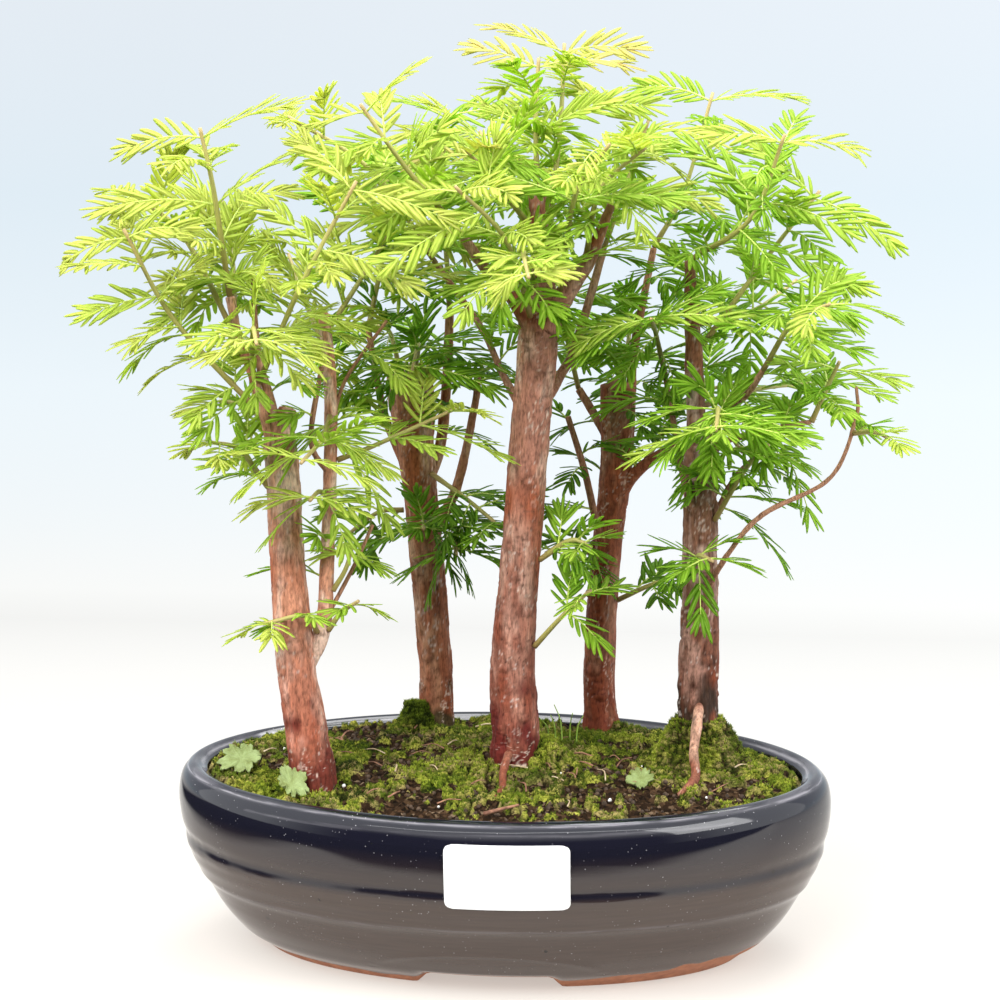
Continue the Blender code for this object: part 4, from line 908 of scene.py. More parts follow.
# Leafy shoots: each is this year's stem, olive below and tan at the tip, with opposite pairs of feathery
# sprays. A spray is a thin rib with flat soft needles in two ranks, longest in its middle. Each shoot is one
# piece, in place of its node where it has one, with the pairs of sprays that the node leaves out as well.
# A row is: the limb, the place along it, a point half way and the tip.
FEATHER_SEED = 41
SHOOTS = {
    "A01": ("leader", 1.00, (-109, -54, 327), (-113, -58, 351)),
    "A02": ("leader", 0.42, (-126, -56, 276), (-142, -68, 312)),
    "A03": ("leader", 0.80, (-128, -30, 308), (-150, -34, 325)),
    "A04": ("leader", 0.55, (-73, -62, 290), (-50, -66, 331)),
    "A05": ("second", 0.97, (-59, -4, 287), (-43, 6, 314)),
    "A06": ("leader", 0.62, (-90, -74, 274), (-85, -92, 270)),
    "A07": ("second", 0.72, (-68, -48, 227), (-71, -78, 222)),
    "A08": ("trunk", 0.80, (-102, -47, 222), (-112, -54, 226)),
    "A09": ("second", 0.12, (-75, -52, 155), (-90, -64, 154)),
    "A10": ("second", 0.60, (-50, -22, 221), (-18, -10, 235)),
    "A11": ("leader", 0.90, (-110, -16, 296), (-120, 14, 318)),
    "A12": ("second", 0.90, (-86, 14, 278), (-98, 44, 294)),
    "A13": ("trunk", 0.93, (-106, -12, 235), (-119, -6, 236)),
    "A14": ("second", 0.50, (-70, -45, 205), (-71, -60, 204)),
    "A15": ("second", 0.13, (-63, -36, 153), (-55, -40, 159)),
    "A16": ("second", 0.24, (-62, -30, 170), (-59, -30, 180)),
    "B01": ("left", 1.00, (-60, 74, 298), (-59, 84, 337)),
    "B02": ("right_high", 1.00, (-34, 76, 320), (-34, 84, 356)),
    "B03": ("trunk", 0.97, (-39, 28, 257), (-38, 0, 249)),
    "B04": ("trunk", 0.60, (-26, 38, 179), (-22, 20, 167)),
    "B05": ("trunk", 0.72, (-20, 44, 187), (-3, 30, 177)),
    "B06": ("trunk", 0.62, (-62, 57, 178), (-78, 54, 166)),
    "B07": ("trunk", 0.96, (-60, 85, 256), (-69, 97, 258)),
    "B08": ("trunk", 0.62, (-38, 35, 178), (-36, 20, 178)),
    "C01": ("middle", 1.00, (13, 8, 353), (14, 10, 378)),
    "C02": ("middle", 0.60, (22, 24, 352), (23, 30, 384)),
    "C03": ("right", 0.30, (33, -36, 325), (47, -48, 345)),
    "C04": ("right", 0.62, (42, -24, 326), (60, -30, 343)),
    "C05": ("trunk", 0.99, (6, -44, 307), (-12, -62, 329)),
    "C06": ("middle", 0.15, (14, -54, 303), (20, -97, 297)),
    "C07": ("middle", 0.70, (1, -14, 325), (-12, -26, 342)),
    "C08": ("left", 1.00, (-36, -34, 336), (-52, -42, 360)),
    "C09": ("low_left", 1.00, (-56, 14, 331), (-90, 6, 354)),
    "C10": ("back_right", 1.00, (47, 34, 319), (58, 40, 352)),
    "C11": ("middle", 0.50, (2, 42, 324), (-18, 78, 346)),
    "C12": ("trunk", 0.28, (26, -14, 148), (39, -22, 162)),
    "C13": ("trunk", 0.47, (30, -14, 181), (39, -18, 179)),
    "D01": ("leader", 1.00, (72, 84, 320), (84, 90, 363)),
    "D02": ("high_left", 1.00, (22, 66, 255), (18, 52, 279)),
    "D03": ("right", 1.00, (88, 38, 225), (100, 18, 214)),
    "D04": ("trunk", 0.97, (48, 89, 256), (44, 102, 258)),
    "D05": ("right", 0.45, (75, 80, 228), (97, 90, 234)),
    "D06": ("trunk", 0.50, (26, 42, 170), (16, 28, 167)),
    "D07": ("trunk", 0.38, (60, 55, 148), (76, 50, 155)),
    "E01": ("leader", 1.00, (102, -6, 314), (115, -18, 348)),
    "E02": ("leader", 0.60, (110, 16, 298), (130, 16, 324)),
    "E03": ("right", 1.00, (120, -22, 274), (134, -32, 282)),
    "E04": ("flat_right", 1.00, (134, -3, 244), (139, -6, 256)),
    "E05": ("left", 1.00, (63, 10, 266), (63, -30, 275)),
    "E06": ("trunk", 0.93, (90, -24, 238), (90, -56, 234)),
    "E07": ("bare_twig", 0.85, (154, -12, 228), (160, -12, 225)),
    "E08": ("leader", 0.70, (104, 42, 272), (122, 74, 282)),
    "E09": ("leader", 0.30, (108, 44, 238), (132, 62, 238)),
    "E10": ("trunk", 0.64, (83, -10, 175), (89, -22, 175)),
    "E11": ("trunk", 0.77, (101, 0, 209), (111, -5, 221)),
}
TREE_LETTERS = {"A": "front_left", "B": "back_left", "C": "centre", "D": "back_right", "E": "front_right"}
SHOOT_RADIUS = (1.25, 0.75)
PAIR_PLACES = (4.0, 17.0, 31.0, 46.0, 62.0, 79.0)
BARE_FOOT = 9.0
SPRAY_LENGTH = 35.0
SPRAY_GROWTH = (12.0, 0.45)
SPRAY_SCALE = {
    "A01": 1.1, "A02": 0.8, "A03": 0.85, "A06": 0.7, "A07": 0.85, "A08": 0.7, "A09": 0.6, "A10": 0.85,
    "A13": 0.7, "A14": 0.8, "A15": 0.5, "A16": 0.5, "B04": 0.75, "B05": 0.75, "B06": 0.7, "B08": 0.8,
    "C06": 0.34, "C08": 0.75, "C09": 0.8, "C12": 0.65, "C13": 0.65, "D03": 0.8, "D06": 0.7, "D07": 0.35,
    "E06": 0.9, "E10": 0.6, "E11": 0.7,
}
TIP_SPRAY = 0.86
SPRAY_LEAN = (72.0, 63.0)
SPRAY_FLATTEN = 0.75
DROOP = (0.22, 0.1)
RISE = 0.10
WILD_TURN = 0.35
WILD_LEAN = 0.2
WILD_LENGTH = 0.18
WILD_LIE = 0.35
SPRAY_TURNS = (0.0, 0.3, -0.3, 0.6, -0.6, 0.95, -0.95)
KNEE = 0.8
NEEDLE_LENGTH = 12.0
NEEDLE_WIDTH = 2.2
NEEDLE_THICK = 0.42
NEEDLE_STEP = 3.6
NEEDLE_SPREAD = (46.0, 16.0)
NEEDLE_GROWTH = (0.74, 1.05, 0.98)
# The small fan at a spray's end: degrees from the rib and share of the needle length
END_FAN = [(-42, 0.76), (-21, 0.86), (2, 0.88), (20, 0.86), (41, 0.76)]
# How fresh the green of each tree is, 0 deep to 1 lime
FRESH = {"A": 0.72, "B": 0.30, "C": 0.56, "D": 0.34, "E": 0.46}
# Needle outline: share of its length, share of its half width
NEEDLE_OUTLINE = [(0.0, 0.34), (0.12, 0.82), (0.42, 1.0), (0.76, 0.90), (0.93, 0.58)]
# The CAD model's box in millimetres, drawn in a little, in which every needle stays
BOX = np.array([list(v) for v in cad_bounds]) / MM + np.array([[0.6], [-0.6]])
RIB_STATIONS = 9
UP = np.array([0.0, 0.0, 1.0])


def square_to(vector, axis):
    """The direction of a vector without its part along an axis."""
    return unit(vector - axis * (vector @ axis))


def place_on_limb(tree_name, limb, share):
    """Point, direction and radius at a share of a limb's length, as measured from its table."""
    rows = np.array(TREES[tree_name][limb], float)
    along = travelled(rows[:, :3])
    at = share * along[-1]
    value = np.array([np.interp(at, along, rows[:, i]) for i in range(4)])
    span = max(min(int(np.searchsorted(along, at, side="left")), len(rows) - 1), 1)
    return value[:3], unit(rows[span, :3] - rows[span - 1, :3]), value[3]


def shoot_points(name):
    """The three points of a shoot's stem: its foot at the bark, the point half way and the tip."""
    limb, share, middle, tip = SHOOTS[name]
    point, along, radius = place_on_limb(TREE_LETTERS[name[0]], limb, share)
    out = np.array(middle, float) - point
    facing = along if share >= 1.0 else square_to(out, along)
    start = point + facing * (SOIL_GAP if share >= 1.0 else radius + SOIL_GAP)
    return np.array([start, middle, tip], float)


def sprays_of(name):
    """Number, foot, direction, length, lie and droop of a shoot's sprays, in opposite pairs from the tip."""
    path = smooth_path(shoot_points(name), 5)
    along = travelled(path)
    total = along[-1]
    draw = np.random.default_rng([FEATHER_SEED, ord(name[0]), int(name[1:])])
    jitter = draw.uniform(-1, 1, (len(PAIR_PLACES), 2, 5))
    for k, behind in enumerate(PAIR_PLACES):
        at = total - behind
        if at < BARE_FOOT and k > 0:
            break
        foot, ahead, back = [np.array([np.interp(s, along, path[:, i]) for i in range(3)])
                             for s in (at, min(at + 3, total), at - 3)]
        tangent = unit(ahead - back)
        if abs(tangent[2]) > 0.7:
            flat = square_to(np.array([1.0, 0.0, 0.0]), tangent)
        else:
            flat = unit(np.cross(tangent, UP))
        cross = np.cross(tangent, flat)
        for side in (0, 1):
            wild = jitter[k, side]
            turn = (k % 2) * 0.5 * math.pi * abs(tangent[2]) ** 0.7 + WILD_TURN * wild[0]
            outward = (flat * math.cos(turn) + cross * math.sin(turn)) * (1 - 2 * side)
            lean = math.radians(SPRAY_LEAN[min(k, 1)]) + WILD_LEAN * wild[1]
            heading = unit(tangent * math.cos(lean) + outward * math.sin(lean))
            heading = unit(heading * np.array([1.0, 1.0, SPRAY_FLATTEN]))
            length = min(SPRAY_LENGTH, SPRAY_GROWTH[0] + SPRAY_GROWTH[1] * total)
            length = length * SPRAY_SCALE.get(name, 1.0)
            length *= 1 + WILD_LENGTH * wild[2]
            length *= TIP_SPRAY if k == 0 else 1 - 0.07 * (k - 1)
            lie = square_to(UP, heading)
            lie = unit(lie + WILD_LIE * wild[3] * np.cross(heading, lie))
            tilt = (0.75 + 0.45 * wild[1]) * float(np.clip((foot[2] - 225) / 90, 0, 1))
            lie = unit(lie + tilt * np.array([0.1, -1.0, 0.0]))
            lie = square_to(lie, heading)
            yield k, foot, heading, length, lie, DROOP[0] + DROOP[1] * wild[4]


def rib_points(foot, heading, length, droop, u):
    """A rib's points: straight out along its heading, rising a little, sinking with the square of u."""
    fall = (RISE * u - droop * u ** 2)[:, None] * UP
    return foot + length * (heading * u[:, None] + fall)


def turned(vector, angle):
    """A vector turned about the vertical."""
    c, s = math.cos(angle), math.sin(angle)
    return np.array([c * vector[0] - s * vector[1], s * vector[0] + c * vector[1], vector[2]])


def as_built(foot, heading, length, droop, solid):
    """The turn about the vertical at which the node's solid holds this spray's knee, or 0."""
    if solid is None:
        return 0.0
    for angle in SPRAY_TURNS:
        knee = rib_points(foot, turned(heading, angle), length, droop, np.array([KNEE]))[0]
        if np.min(np.linalg.norm(solid - knee, axis=1)) < 2.5:
            return angle
    return 0.0


def room_within(point, way):
    """How far points may go along their directions before they leave the CAD model's box."""
    return (np.where(way > 0, BOX[1] - point, point - BOX[0]) / np.maximum(np.abs(way), 1e-6)).min(axis=-1)


def needle_mesh(root, way, top, bend, size, width, twist):
    """Closed needles, all at once: three points at each of five stations, and a tip.

    A needle runs along way, bends with the square of its length, and is a thin three-edged blade: flat above
    and keeled below.
    """
    t = np.array([s for s, _ in NEEDLE_OUTLINE] + [1.0])
    w = np.array([s for _, s in NEEDLE_OUTLINE])
    over = unit(top - way * np.sum(top * way, -1, keepdims=True))
    across = np.cross(over, way)
    leaned = across * np.cos(twist)[:, None] + over * np.sin(twist)[:, None]
    over = np.cross(way, leaned)
    middle = root[:, None] + size[:, None, None] * (way[:, None] * t[None, :, None]
                                                    + bend[:, None] * (t ** 2)[None, :, None])
    wide = leaned[:, None] * (width[:, None] * w[None])[..., None] / 2
    keel = over[:, None] * (NEEDLE_THICK * (0.35 + 0.65 * w))[None, :, None]
    body = middle[:, :-1]
    verts = np.stack([body + wide, body - wide, body - keel], 2).reshape(len(root), -1, 3)
    verts = np.concatenate([verts, middle[:, -1:]], 1)
    per = verts.shape[1]
    rows = len(NEEDLE_OUTLINE)
    i = 3 * np.arange(rows - 1)
    left, right, keels = i, i + 1, i + 2
    quads = np.vstack([np.stack([right, right + 3, left + 3, left], -1),
                       np.stack([left, left + 3, keels + 3, keels], -1),
                       np.stack([keels, keels + 3, right + 3, right], -1)])
    end = 3 * (rows - 1)
    tip = per - 1
    tris = np.array([[0, 2, 1], [end + 1, tip, end], [end, tip, end + 2], [end + 2, tip, end + 1]])
    shift = (np.arange(len(root)) * per)[:, None, None]
    along = np.append(np.repeat(t[:-1], 3), 1.0)
    sideways = np.append(np.tile([0.0, 1.0, 0.5], rows), 0.5)
    return (verts.reshape(-1, 3), (quads[None] + shift).reshape(-1, 4), (tris[None] + shift).reshape(-1, 3),
            np.tile(along, len(root)), np.tile(sideways, len(root)), per)


def leaf_finish():
    """Soft living needles: deep green to lime by the needle's fresh tone, which holds painted shade on low
    and inner sprays, and paler along the middle, partly the midrib and partly a painted highlight.

    Some of the light comes through from behind. Attribute leaf holds the fresh tone, place along, place
    across.
    """
    made, tree, shader = finish_of("needles", 0.5, Specular_IOR_Level=0.16)
    leaf = node(tree, "SeparateXYZ", Vector=carried(tree, "leaf", "Vector"))
    colour = ramp(tree, leaf.outputs["X"], (0.0, (0.17, 0.36, 0.03)), (0.3, (0.31, 0.58, 0.04)),
                  (0.55, (0.50, 0.76, 0.07)), (0.75, (0.75, 0.87, 0.17)), (0.9, (0.84, 0.85, 0.24)),
                  (1.0, (0.90, 0.70, 0.32)))
    # Paler along the middle: partly the midrib, partly a painted highlight where its fold would catch light
    # from above
    midrib_and_highlight = ramp(tree, leaf.outputs["Z"], (0.38, (0, 0, 0)), (0.5, (0.14, 0.14, 0.14)), (0.62, (0, 0, 0)))
    colour = blend(tree, midrib_and_highlight, colour, (0.82, 0.92, 0.34))
    mottle = ramp(tree, cloud(tree, own_spot(tree), 160.0, 2.0), (0.35, (0.1, 0.1, 0.1)), (0.65, (0, 0, 0)))
    colour = blend(tree, mottle, colour, (0.22, 0.45, 0.03))
    tree.links.new(colour, shader.inputs["Base Color"])
    both_shaders(tree, 0.55, shader, node(tree, "BsdfTranslucent", Color=colour))
    return made


def stem_finish():
    """Young stems, brown at the foot, olive halfway and tan at the tip, and the green ribs of the sprays."""
    made, tree, shader = finish_of("young_stem", 0.5)
    leaf = node(tree, "SeparateXYZ", Vector=carried(tree, "leaf", "Vector"))
    colour = ramp(tree, leaf.outputs["X"], (0.0, (0.24, 0.12, 0.055)), (0.3, (0.34, 0.31, 0.08)),
                  (0.7, (0.40, 0.38, 0.11)), (1.0, (0.44, 0.32, 0.14)))
    rib = blend(tree, leaf.outputs["Y"], colour, (0.50, 0.62, 0.12))
    tree.links.new(rib, shader.inputs["Base Color"])
    return made


def feather(foot, heading, length, lie, droop, fresh, draw):
    """One spray: its rib's tube, and the rows of values from which its needles are made.

    Needles stand in pairs, at an angle to the rib that closes from 46 to 30 degrees. They bend forward and
    to the spray's underside. Their size is a + b u - c u^2 of the full one at the place u, and five spread at
    the end. A few are left out at random.
    """
    length = min(length, 0.95 * room_within(foot, heading))
    line = rib_points(foot, heading, length, droop, np.linspace(0, 1, RIB_STATIONS))
    verts, _, quads, caps = tube(line, np.linspace(0.5, 0.22, RIB_STATIONS), 5)
    pairs = np.arange(2.4, length, NEEDLE_STEP) / length
    places = np.repeat(pairs, 2) + draw.uniform(-0.3, 0.3, 2 * len(pairs)) * NEEDLE_STEP / length
    angle = np.tile([1.0, -1.0], len(pairs)) * np.radians(NEEDLE_SPREAD[0] - NEEDLE_SPREAD[1] * places)
    a, b, c = NEEDLE_GROWTH
    share = a + b * places - c * places ** 2
    fan = np.array(END_FAN)
    places = np.clip(np.append(places, np.full(len(fan), 0.99)), 0, 1)
    angle = np.append(angle, np.radians(fan[:, 0])) + np.radians(10) * draw.uniform(-1, 1, len(places))
    share = np.append(share, fan[:, 1]) * (1 + 0.18 * draw.uniform(-1, 1, len(places)))
    tangent = unit(heading + (RISE - 2 * droop * places)[:, None] * UP)
    side = unit(np.cross(lie, tangent))
    top = np.cross(tangent, side)
    lifted = 0.15 + 0.12 * draw.uniform(-1, 1, len(places))
    way = unit(tangent * np.cos(angle)[:, None] + side * np.sin(angle)[:, None] + top * lifted[:, None])
    sag = 0.17 + 0.10 * draw.uniform(-1, 1) + 0.08 * draw.uniform(-1, 1, len(places))
    bend = 0.16 * tangent - sag[:, None] * top
    roots = rib_points(foot, heading, length, droop, places)
    size = np.minimum(NEEDLE_LENGTH * share, 0.86 * room_within(roots, unit(way + bend)))
    wide = NEEDLE_WIDTH * (0.80 + 0.20 * np.sin(math.pi * places))
    wide = wide * (1 + 0.12 * draw.uniform(-1, 1, len(places)))
    twist = 0.2 * draw.uniform(-1, 1, len(places))
    tone = fresh + 0.03 * draw.uniform(-1, 1, len(places)) + 0.05 * places
    keep = draw.uniform(0, 1, len(places)) > 0.03
    needles = (roots, way, top, bend, size, wide, twist, tone)
    return (verts, quads, caps), [row[keep] for row in needles]


def leafy_mesh(name, stems, feathers):
    """One mesh of stems (points, quads, caps, shade) and sprays: needles take finish 0, wood and ribs 1."""
    points, fours, threes, leaf, start = [], [], [], [], 0
    ribs = [(*rib, np.full(len(rib[0]), 0.8), 1.0) for rib, _ in feathers]
    for verts, quads, caps, shade, green in [(*stem, 0.0) for stem in stems] + ribs:
        points.append(verts)
        fours.append(quads + start)
        threes.append(caps + start)
        leaf.append(np.stack([shade, np.full(len(verts), green), 0 * shade], -1))
        start += len(verts)
    needles = [np.concatenate(rows) for rows in zip(*[rows for _, rows in feathers])]
    verts, quads, tris, along, sideways, per = needle_mesh(*needles[:-1])
    tone = needles[-1]
    leaf.append(np.stack([np.repeat(tone, per) + 0.03 * (1 - along), along, sideways], -1))
    fours, threes = np.vstack(fours), np.vstack(threes)
    mesh = mesh_of(name, np.vstack(points + [verts]), fours, threes, quads + start, tris + start)
    give(mesh, "leaf", np.vstack(leaf), "FLOAT_VECTOR", "vector")
    which = np.zeros(len(mesh.polygons), np.int32)
    which[:len(fours) + len(threes)] = 1
    mesh.polygons.foreach_set("material_index", which)
    return mesh


def freshness_and_shade(letter, foot, extra, draw):
    """Fresh tone of a spray: its tree's, more with height and distance from the stem, and a little chance.
    The gain with height and distance is partly painted shade, which darkens low and inner sprays.
    """
    stem = np.array(TREES[TREE_LETTERS[letter]]["trunk"][-1][:2], float)
    out = np.hypot(*(foot[:2] - stem))
    # Painted shade, in part: low sprays and those near the stem come out darker
    value = FRESH[letter] + 0.0016 * (foot[2] - 256) + 0.0022 * (out - 40) + extra
    value = value + 0.10 * draw.uniform(-1, 1)
    return float(np.clip(value, 0.04, 0.78))


def stem_tube(points, radii, sides=10):
    """A shoot's stem and the shade from its foot to its tip."""
    path = smooth_path(points, 26)
    radii = np.linspace(*radii, len(path)) * (1 + 0.08 * noise(path / 3.0, 41))
    verts, _, quads, caps = tube(path, radii, sides, cap=0.15)
    return verts, quads, caps, np.append(np.repeat(np.linspace(0.1, 1.0, len(path)), sides), [0.1, 1.0])


def shoot(name, solid):
    """One leafy shoot: its stem and every spray, turned as the node's solid has it."""
    draw = np.random.default_rng([FEATHER_SEED, 7, ord(name[0]), int(name[1:])])
    feathers = []
    for k, foot, heading, length, lie, droop in sprays_of(name):
        angle = as_built(foot, heading, length, droop, solid)
        heading, lie = turned(heading, angle), turned(lie, angle)
        fresh = freshness_and_shade(name[0], foot, 0.12 if k == 0 else 0.0, draw)
        fresh += 0.10 if name in ("C01", "C02", "C07") and k == 0 else 0.0
        feathers.append(feather(foot, heading, length, lie, droop, fresh, draw))
    return leafy_mesh("sprays_" + name, [stem_tube(shoot_points(name), SHOOT_RADIUS)], feathers)


NEEDLES = leaf_finish()
YOUNG_STEM = stem_finish()
for name in SHOOTS:
    own_name = TREE_LETTERS[name[0]] + "_" + name[1:]
    node_name = "shoot_" + own_name
    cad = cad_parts.get(node_name)
    solid = None
    if cad is not None:
        solid = np.empty(3 * len(cad.data.vertices))
        cad.data.vertices.foreach_get("co", solid)
        solid = solid.reshape(-1, 3) / MM
    piece = new_piece("sprays_" + own_name, shoot(name, solid), NEEDLES, YOUNG_STEM)
    dress(piece, "leaf_" + TREE_LETTERS[name[0]], *([node_name] if cad is not None else []))

# Short sprays: between the long shoots the limbs and young stems carry many small sprays, set round them in
# a spiral. They fill the crowns and share the needles' finish. Each tree's are one piece.
SHORT_SEED = 19
SHORT_WANTED = {"A": 44, "B": 40, "C": 70, "D": 38, "E": 52}
SHORT_LENGTH = (14.0, 26.0)
GOLDEN_TURN = math.pi * (3 - math.sqrt(5))


def short_sprays(letter):
    """Small sprays along limbs and stems, each a golden angle further round than the one before."""
    tree_name = TREE_LETTERS[letter]
    draw = np.random.default_rng([SHORT_SEED, ord(letter)])
    lines = []
    for limb in TREES[tree_name]:
        if limb not in ("root", "bare_twig"):
            rows = limb_rows(tree_name, limb)
            low = 0.78 if limb == "trunk" else 0.35
            lines.append((smooth_path(rows, 40)[int(40 * low):], 0.0))
    for name in SHOOTS:
        if name[0] == letter and SHOOTS[name][1] > 0.3:
            stem = smooth_path(shoot_points(name), 40)[2:30]
            lines.append((np.column_stack([stem, np.ones(len(stem))]), 0.05))
    lengths = np.array([np.linalg.norm(np.diff(line[:, :3], axis=0), axis=1).sum() for line, _ in lines])
    wanted = SHORT_WANTED[letter]
    picks = np.searchsorted(np.cumsum(lengths), (np.arange(wanted) + 0.5) / wanted * lengths.sum())
    feathers = []
    for k, pick in enumerate(picks):
        line, extra = lines[pick]
        at = int(draw.integers(0, len(line) - 1))
        along = unit(line[at + 1, :3] - line[at, :3])
        side = unit(np.cross(along, [0.31, 0.83, 0.46]))
        turn = k * GOLDEN_TURN
        out = side * math.cos(turn) + np.cross(along, side) * math.sin(turn)
        heading = unit(out + 0.55 * along + np.array([0, 0, draw.uniform(-0.35, 0.15)]))
        lie = square_to(unit(UP + 0.35 * draw.uniform(-1, 1, 3)), heading)
        length = draw.uniform(*SHORT_LENGTH)
        foot = line[at, :3] + out * line[at, 3] * 0.7
        # Painted shade, in part: short sprays sit inside the crowns and come out darker
        fresh = freshness_and_shade(letter, foot, extra - 0.12, draw)
        feathers.append(feather(foot, heading, length, lie, draw.uniform(0.2, 0.6), fresh, draw))
    return leafy_mesh("short_sprays_" + tree_name, [], feathers)


for letter in SHORT_WANTED:
    piece = new_piece("short_sprays_" + TREE_LETTERS[letter], short_sprays(letter), NEEDLES, YOUNG_STEM)
    dress(piece, "leaf_" + TREE_LETTERS[letter])

# Moss cushions: dense moss mounded against the stems. A cushion is a mound with a level top, covered with
# lumps; its colour runs from deep green in the clefts, a painted shade, to yellow-green and brown on the
# crowns.
# Centre, radius, height over the soil, share of the radius that is level, and the node it stands for
MOSS = {
    "front_right": ((83, 14), 22.0, 21.0, 0.44, "moss_front_right"),
    "back_left": ((-45, 60), 11.0, 14.0, 0.45, "moss_back_left"),
    "centre": ((19, -2), 15.0, 10.0, 0.25, "moss_centre"),
    "back_right": ((46, 63), 8.0, 7.0, 0.35, None),
}


def moss_finish():
    """Moss of the cushions, with the same colours as on the soil."""
    made, tree, shader = finish_of("moss", 0.95, Specular_IOR_Level=0.08)
    spot = own_spot(tree)
    green, fine = moss_colour(tree, spot, carried(tree, "crown"))
    tree.links.new(green, shader.inputs["Base Color"])
    roughen(tree, shader, fine, 0.8, 0.001)
    return made


def mound(place, rows=90, sides=190):
    """A mound and its crowns: it falls from a level top to the soil, with cushions and clefts all over."""
    (cx, cy), radius, height, level, _ = MOSS[place]
    share = np.linspace(0.02, 1.12, rows)[:, None]
    turn = (np.arange(sides) * 2 * math.pi / sides)[None, :]
    uneven = 1 + 0.10 * np.sin(2 * turn + cx) + 0.08 * np.sin(3 * turn + cy) + 0.05 * np.sin(7 * turn + cy)
    x = cx + radius * share * uneven * np.cos(turn)
    y = cy + radius * share * uneven * np.sin(turn)
    fall = np.clip((share - level) / (1.0 - level), 0, 1)
    rise = height * (1 - fall) ** 1.15 - 4 * np.clip(share - 1.0, 0, 1) / 0.12
    z = soil_height(x, y) + rise + 0 * turn
    out = np.stack([np.cos(turn) + 0 * share, np.sin(turn) + 0 * share, 0.8 + 0 * x], -1)
    body = np.stack([x, y, z], -1)
    crown = folded(noise(body / 7.0, 51), noise(body / 2.1, 52))
    lumps = 1.2 * crown + 0.6 * noise(body / 1.2, 53)
    body = body + unit(out) * (lumps * np.clip(1.15 - share, 0, 1))[..., None]
    # Painted shade: the back-left cushion's crowns are scaled down, so it comes out darker
    return body, (0.5 + 0.5 * crown) * (0.62 if place == "back_left" else 1.0)


MOSS_GREEN = moss_finish()
for place, row in MOSS.items():
    body, crown = mound(place)
    mesh = closed_rings("moss_mound_" + place, body.reshape(-1, 3), *body.shape[:2])
    mesh.flip_normals()
    give(mesh, "crown", crown)
    dress(new_piece("moss_mound_" + place, mesh, MOSS_GREEN), "moss", *([row[-1]] if row[-1] else []))

# Moss tufts: thousands of tiny leafy tips scattered over the mossy soil and the cushions. Each tuft is three
# small closed blades that lean apart.
TUFT_SEED = 77
TUFTS_ON_SOIL = 11000
TUFTS_ON_MOUND = {"front_right": 2000, "back_left": 700, "centre": 700, "back_right": 300}
# The grid of places on a mound, and how many of its rows, counted from the middle, carry tufts
MOUND_ROWS = 60
MOUND_SIDES = 120
MOUND_TUFTED = 54


def tuft_finish():
    """Tips of moss, with painted shade at the foot of a tuft and yellow-green to brown at its end."""
    made, tree, shader = finish_of("moss_tips", 0.8, Specular_IOR_Level=0.15)
    colour = ramp(tree, carried(tree, "tone"), (0.0, (0.015, 0.025, 0.003)), (0.35, (0.09, 0.13, 0.008)),
                  (0.62, (0.27, 0.32, 0.025)), (0.8, (0.50, 0.52, 0.10)), (1.0, (0.42, 0.31, 0.13)))
    tree.links.new(colour, shader.inputs["Base Color"])
    return made


def tufts(foot, up, size, draw):
    """Blades as slim four-point bodies: three round each foot, leaning out from its upward direction."""
    count = len(foot)
    spin = draw.uniform(0, 2 * math.pi, count)[:, None] + np.arange(3)[None] * 2 * math.pi / 3
    lead = unit(np.cross(up, np.array([0.31, 0.83, 0.46])))
    other = np.cross(up, lead)
    out = lead[:, None] * np.cos(spin)[..., None] + other[:, None] * np.sin(spin)[..., None]
    lean = draw.uniform(0.25, 0.9, (count, 3, 1))
    tip = foot[:, None] + size[:, None, None] * unit(up[:, None] + lean * out)
    side = np.cross(out, up[:, None]) * size[:, None, None] * 0.22
    base = foot[:, None] - up[:, None] * 0.4
    inner = base - out * size[:, None, None] * 0.05
    outer = base + out * size[:, None, None] * 0.25
    verts = np.stack([inner + side, inner - side, outer, tip], 2).reshape(-1, 3)
    shift = (np.arange(count * 3) * 4)[:, None, None]
    tris = np.array([[0, 1, 2], [1, 0, 3], [2, 1, 3], [0, 2, 3]])
    return verts, (tris[None, :, ::-1] + shift).reshape(-1, 3)


draw = np.random.default_rng(TUFT_SEED)
spread = draw.uniform(-1, 1, (3 * TUFTS_ON_SOIL, 2)) * np.array([HALF_LENGTH - 14, HALF_DEPTH - 14])
keep = (spread[:, 0] / (HALF_LENGTH - 15)) ** 2 + (spread[:, 1] / (HALF_DEPTH - 15)) ** 2 < 1
keep &= moss_cover(spread[:, 0], spread[:, 1]) > draw.uniform(0.2, 0.9, len(spread))
keep &= moss_lumps(spread[:, 0], spread[:, 1]) > draw.uniform(-0.8, 0.9, len(spread))
spread = spread[keep][:TUFTS_ON_SOIL]
feet = np.column_stack([spread, soil_surface(spread[:, 0], spread[:, 1])])
ups = unit(np.column_stack([0.35 * draw.uniform(-1, 1, (len(feet), 2)), np.ones(len(feet))]))
tones = 0.44 + 0.50 * noise(feet / 14.0, 61) + 0.18 * draw.uniform(-1, 1, len(feet))
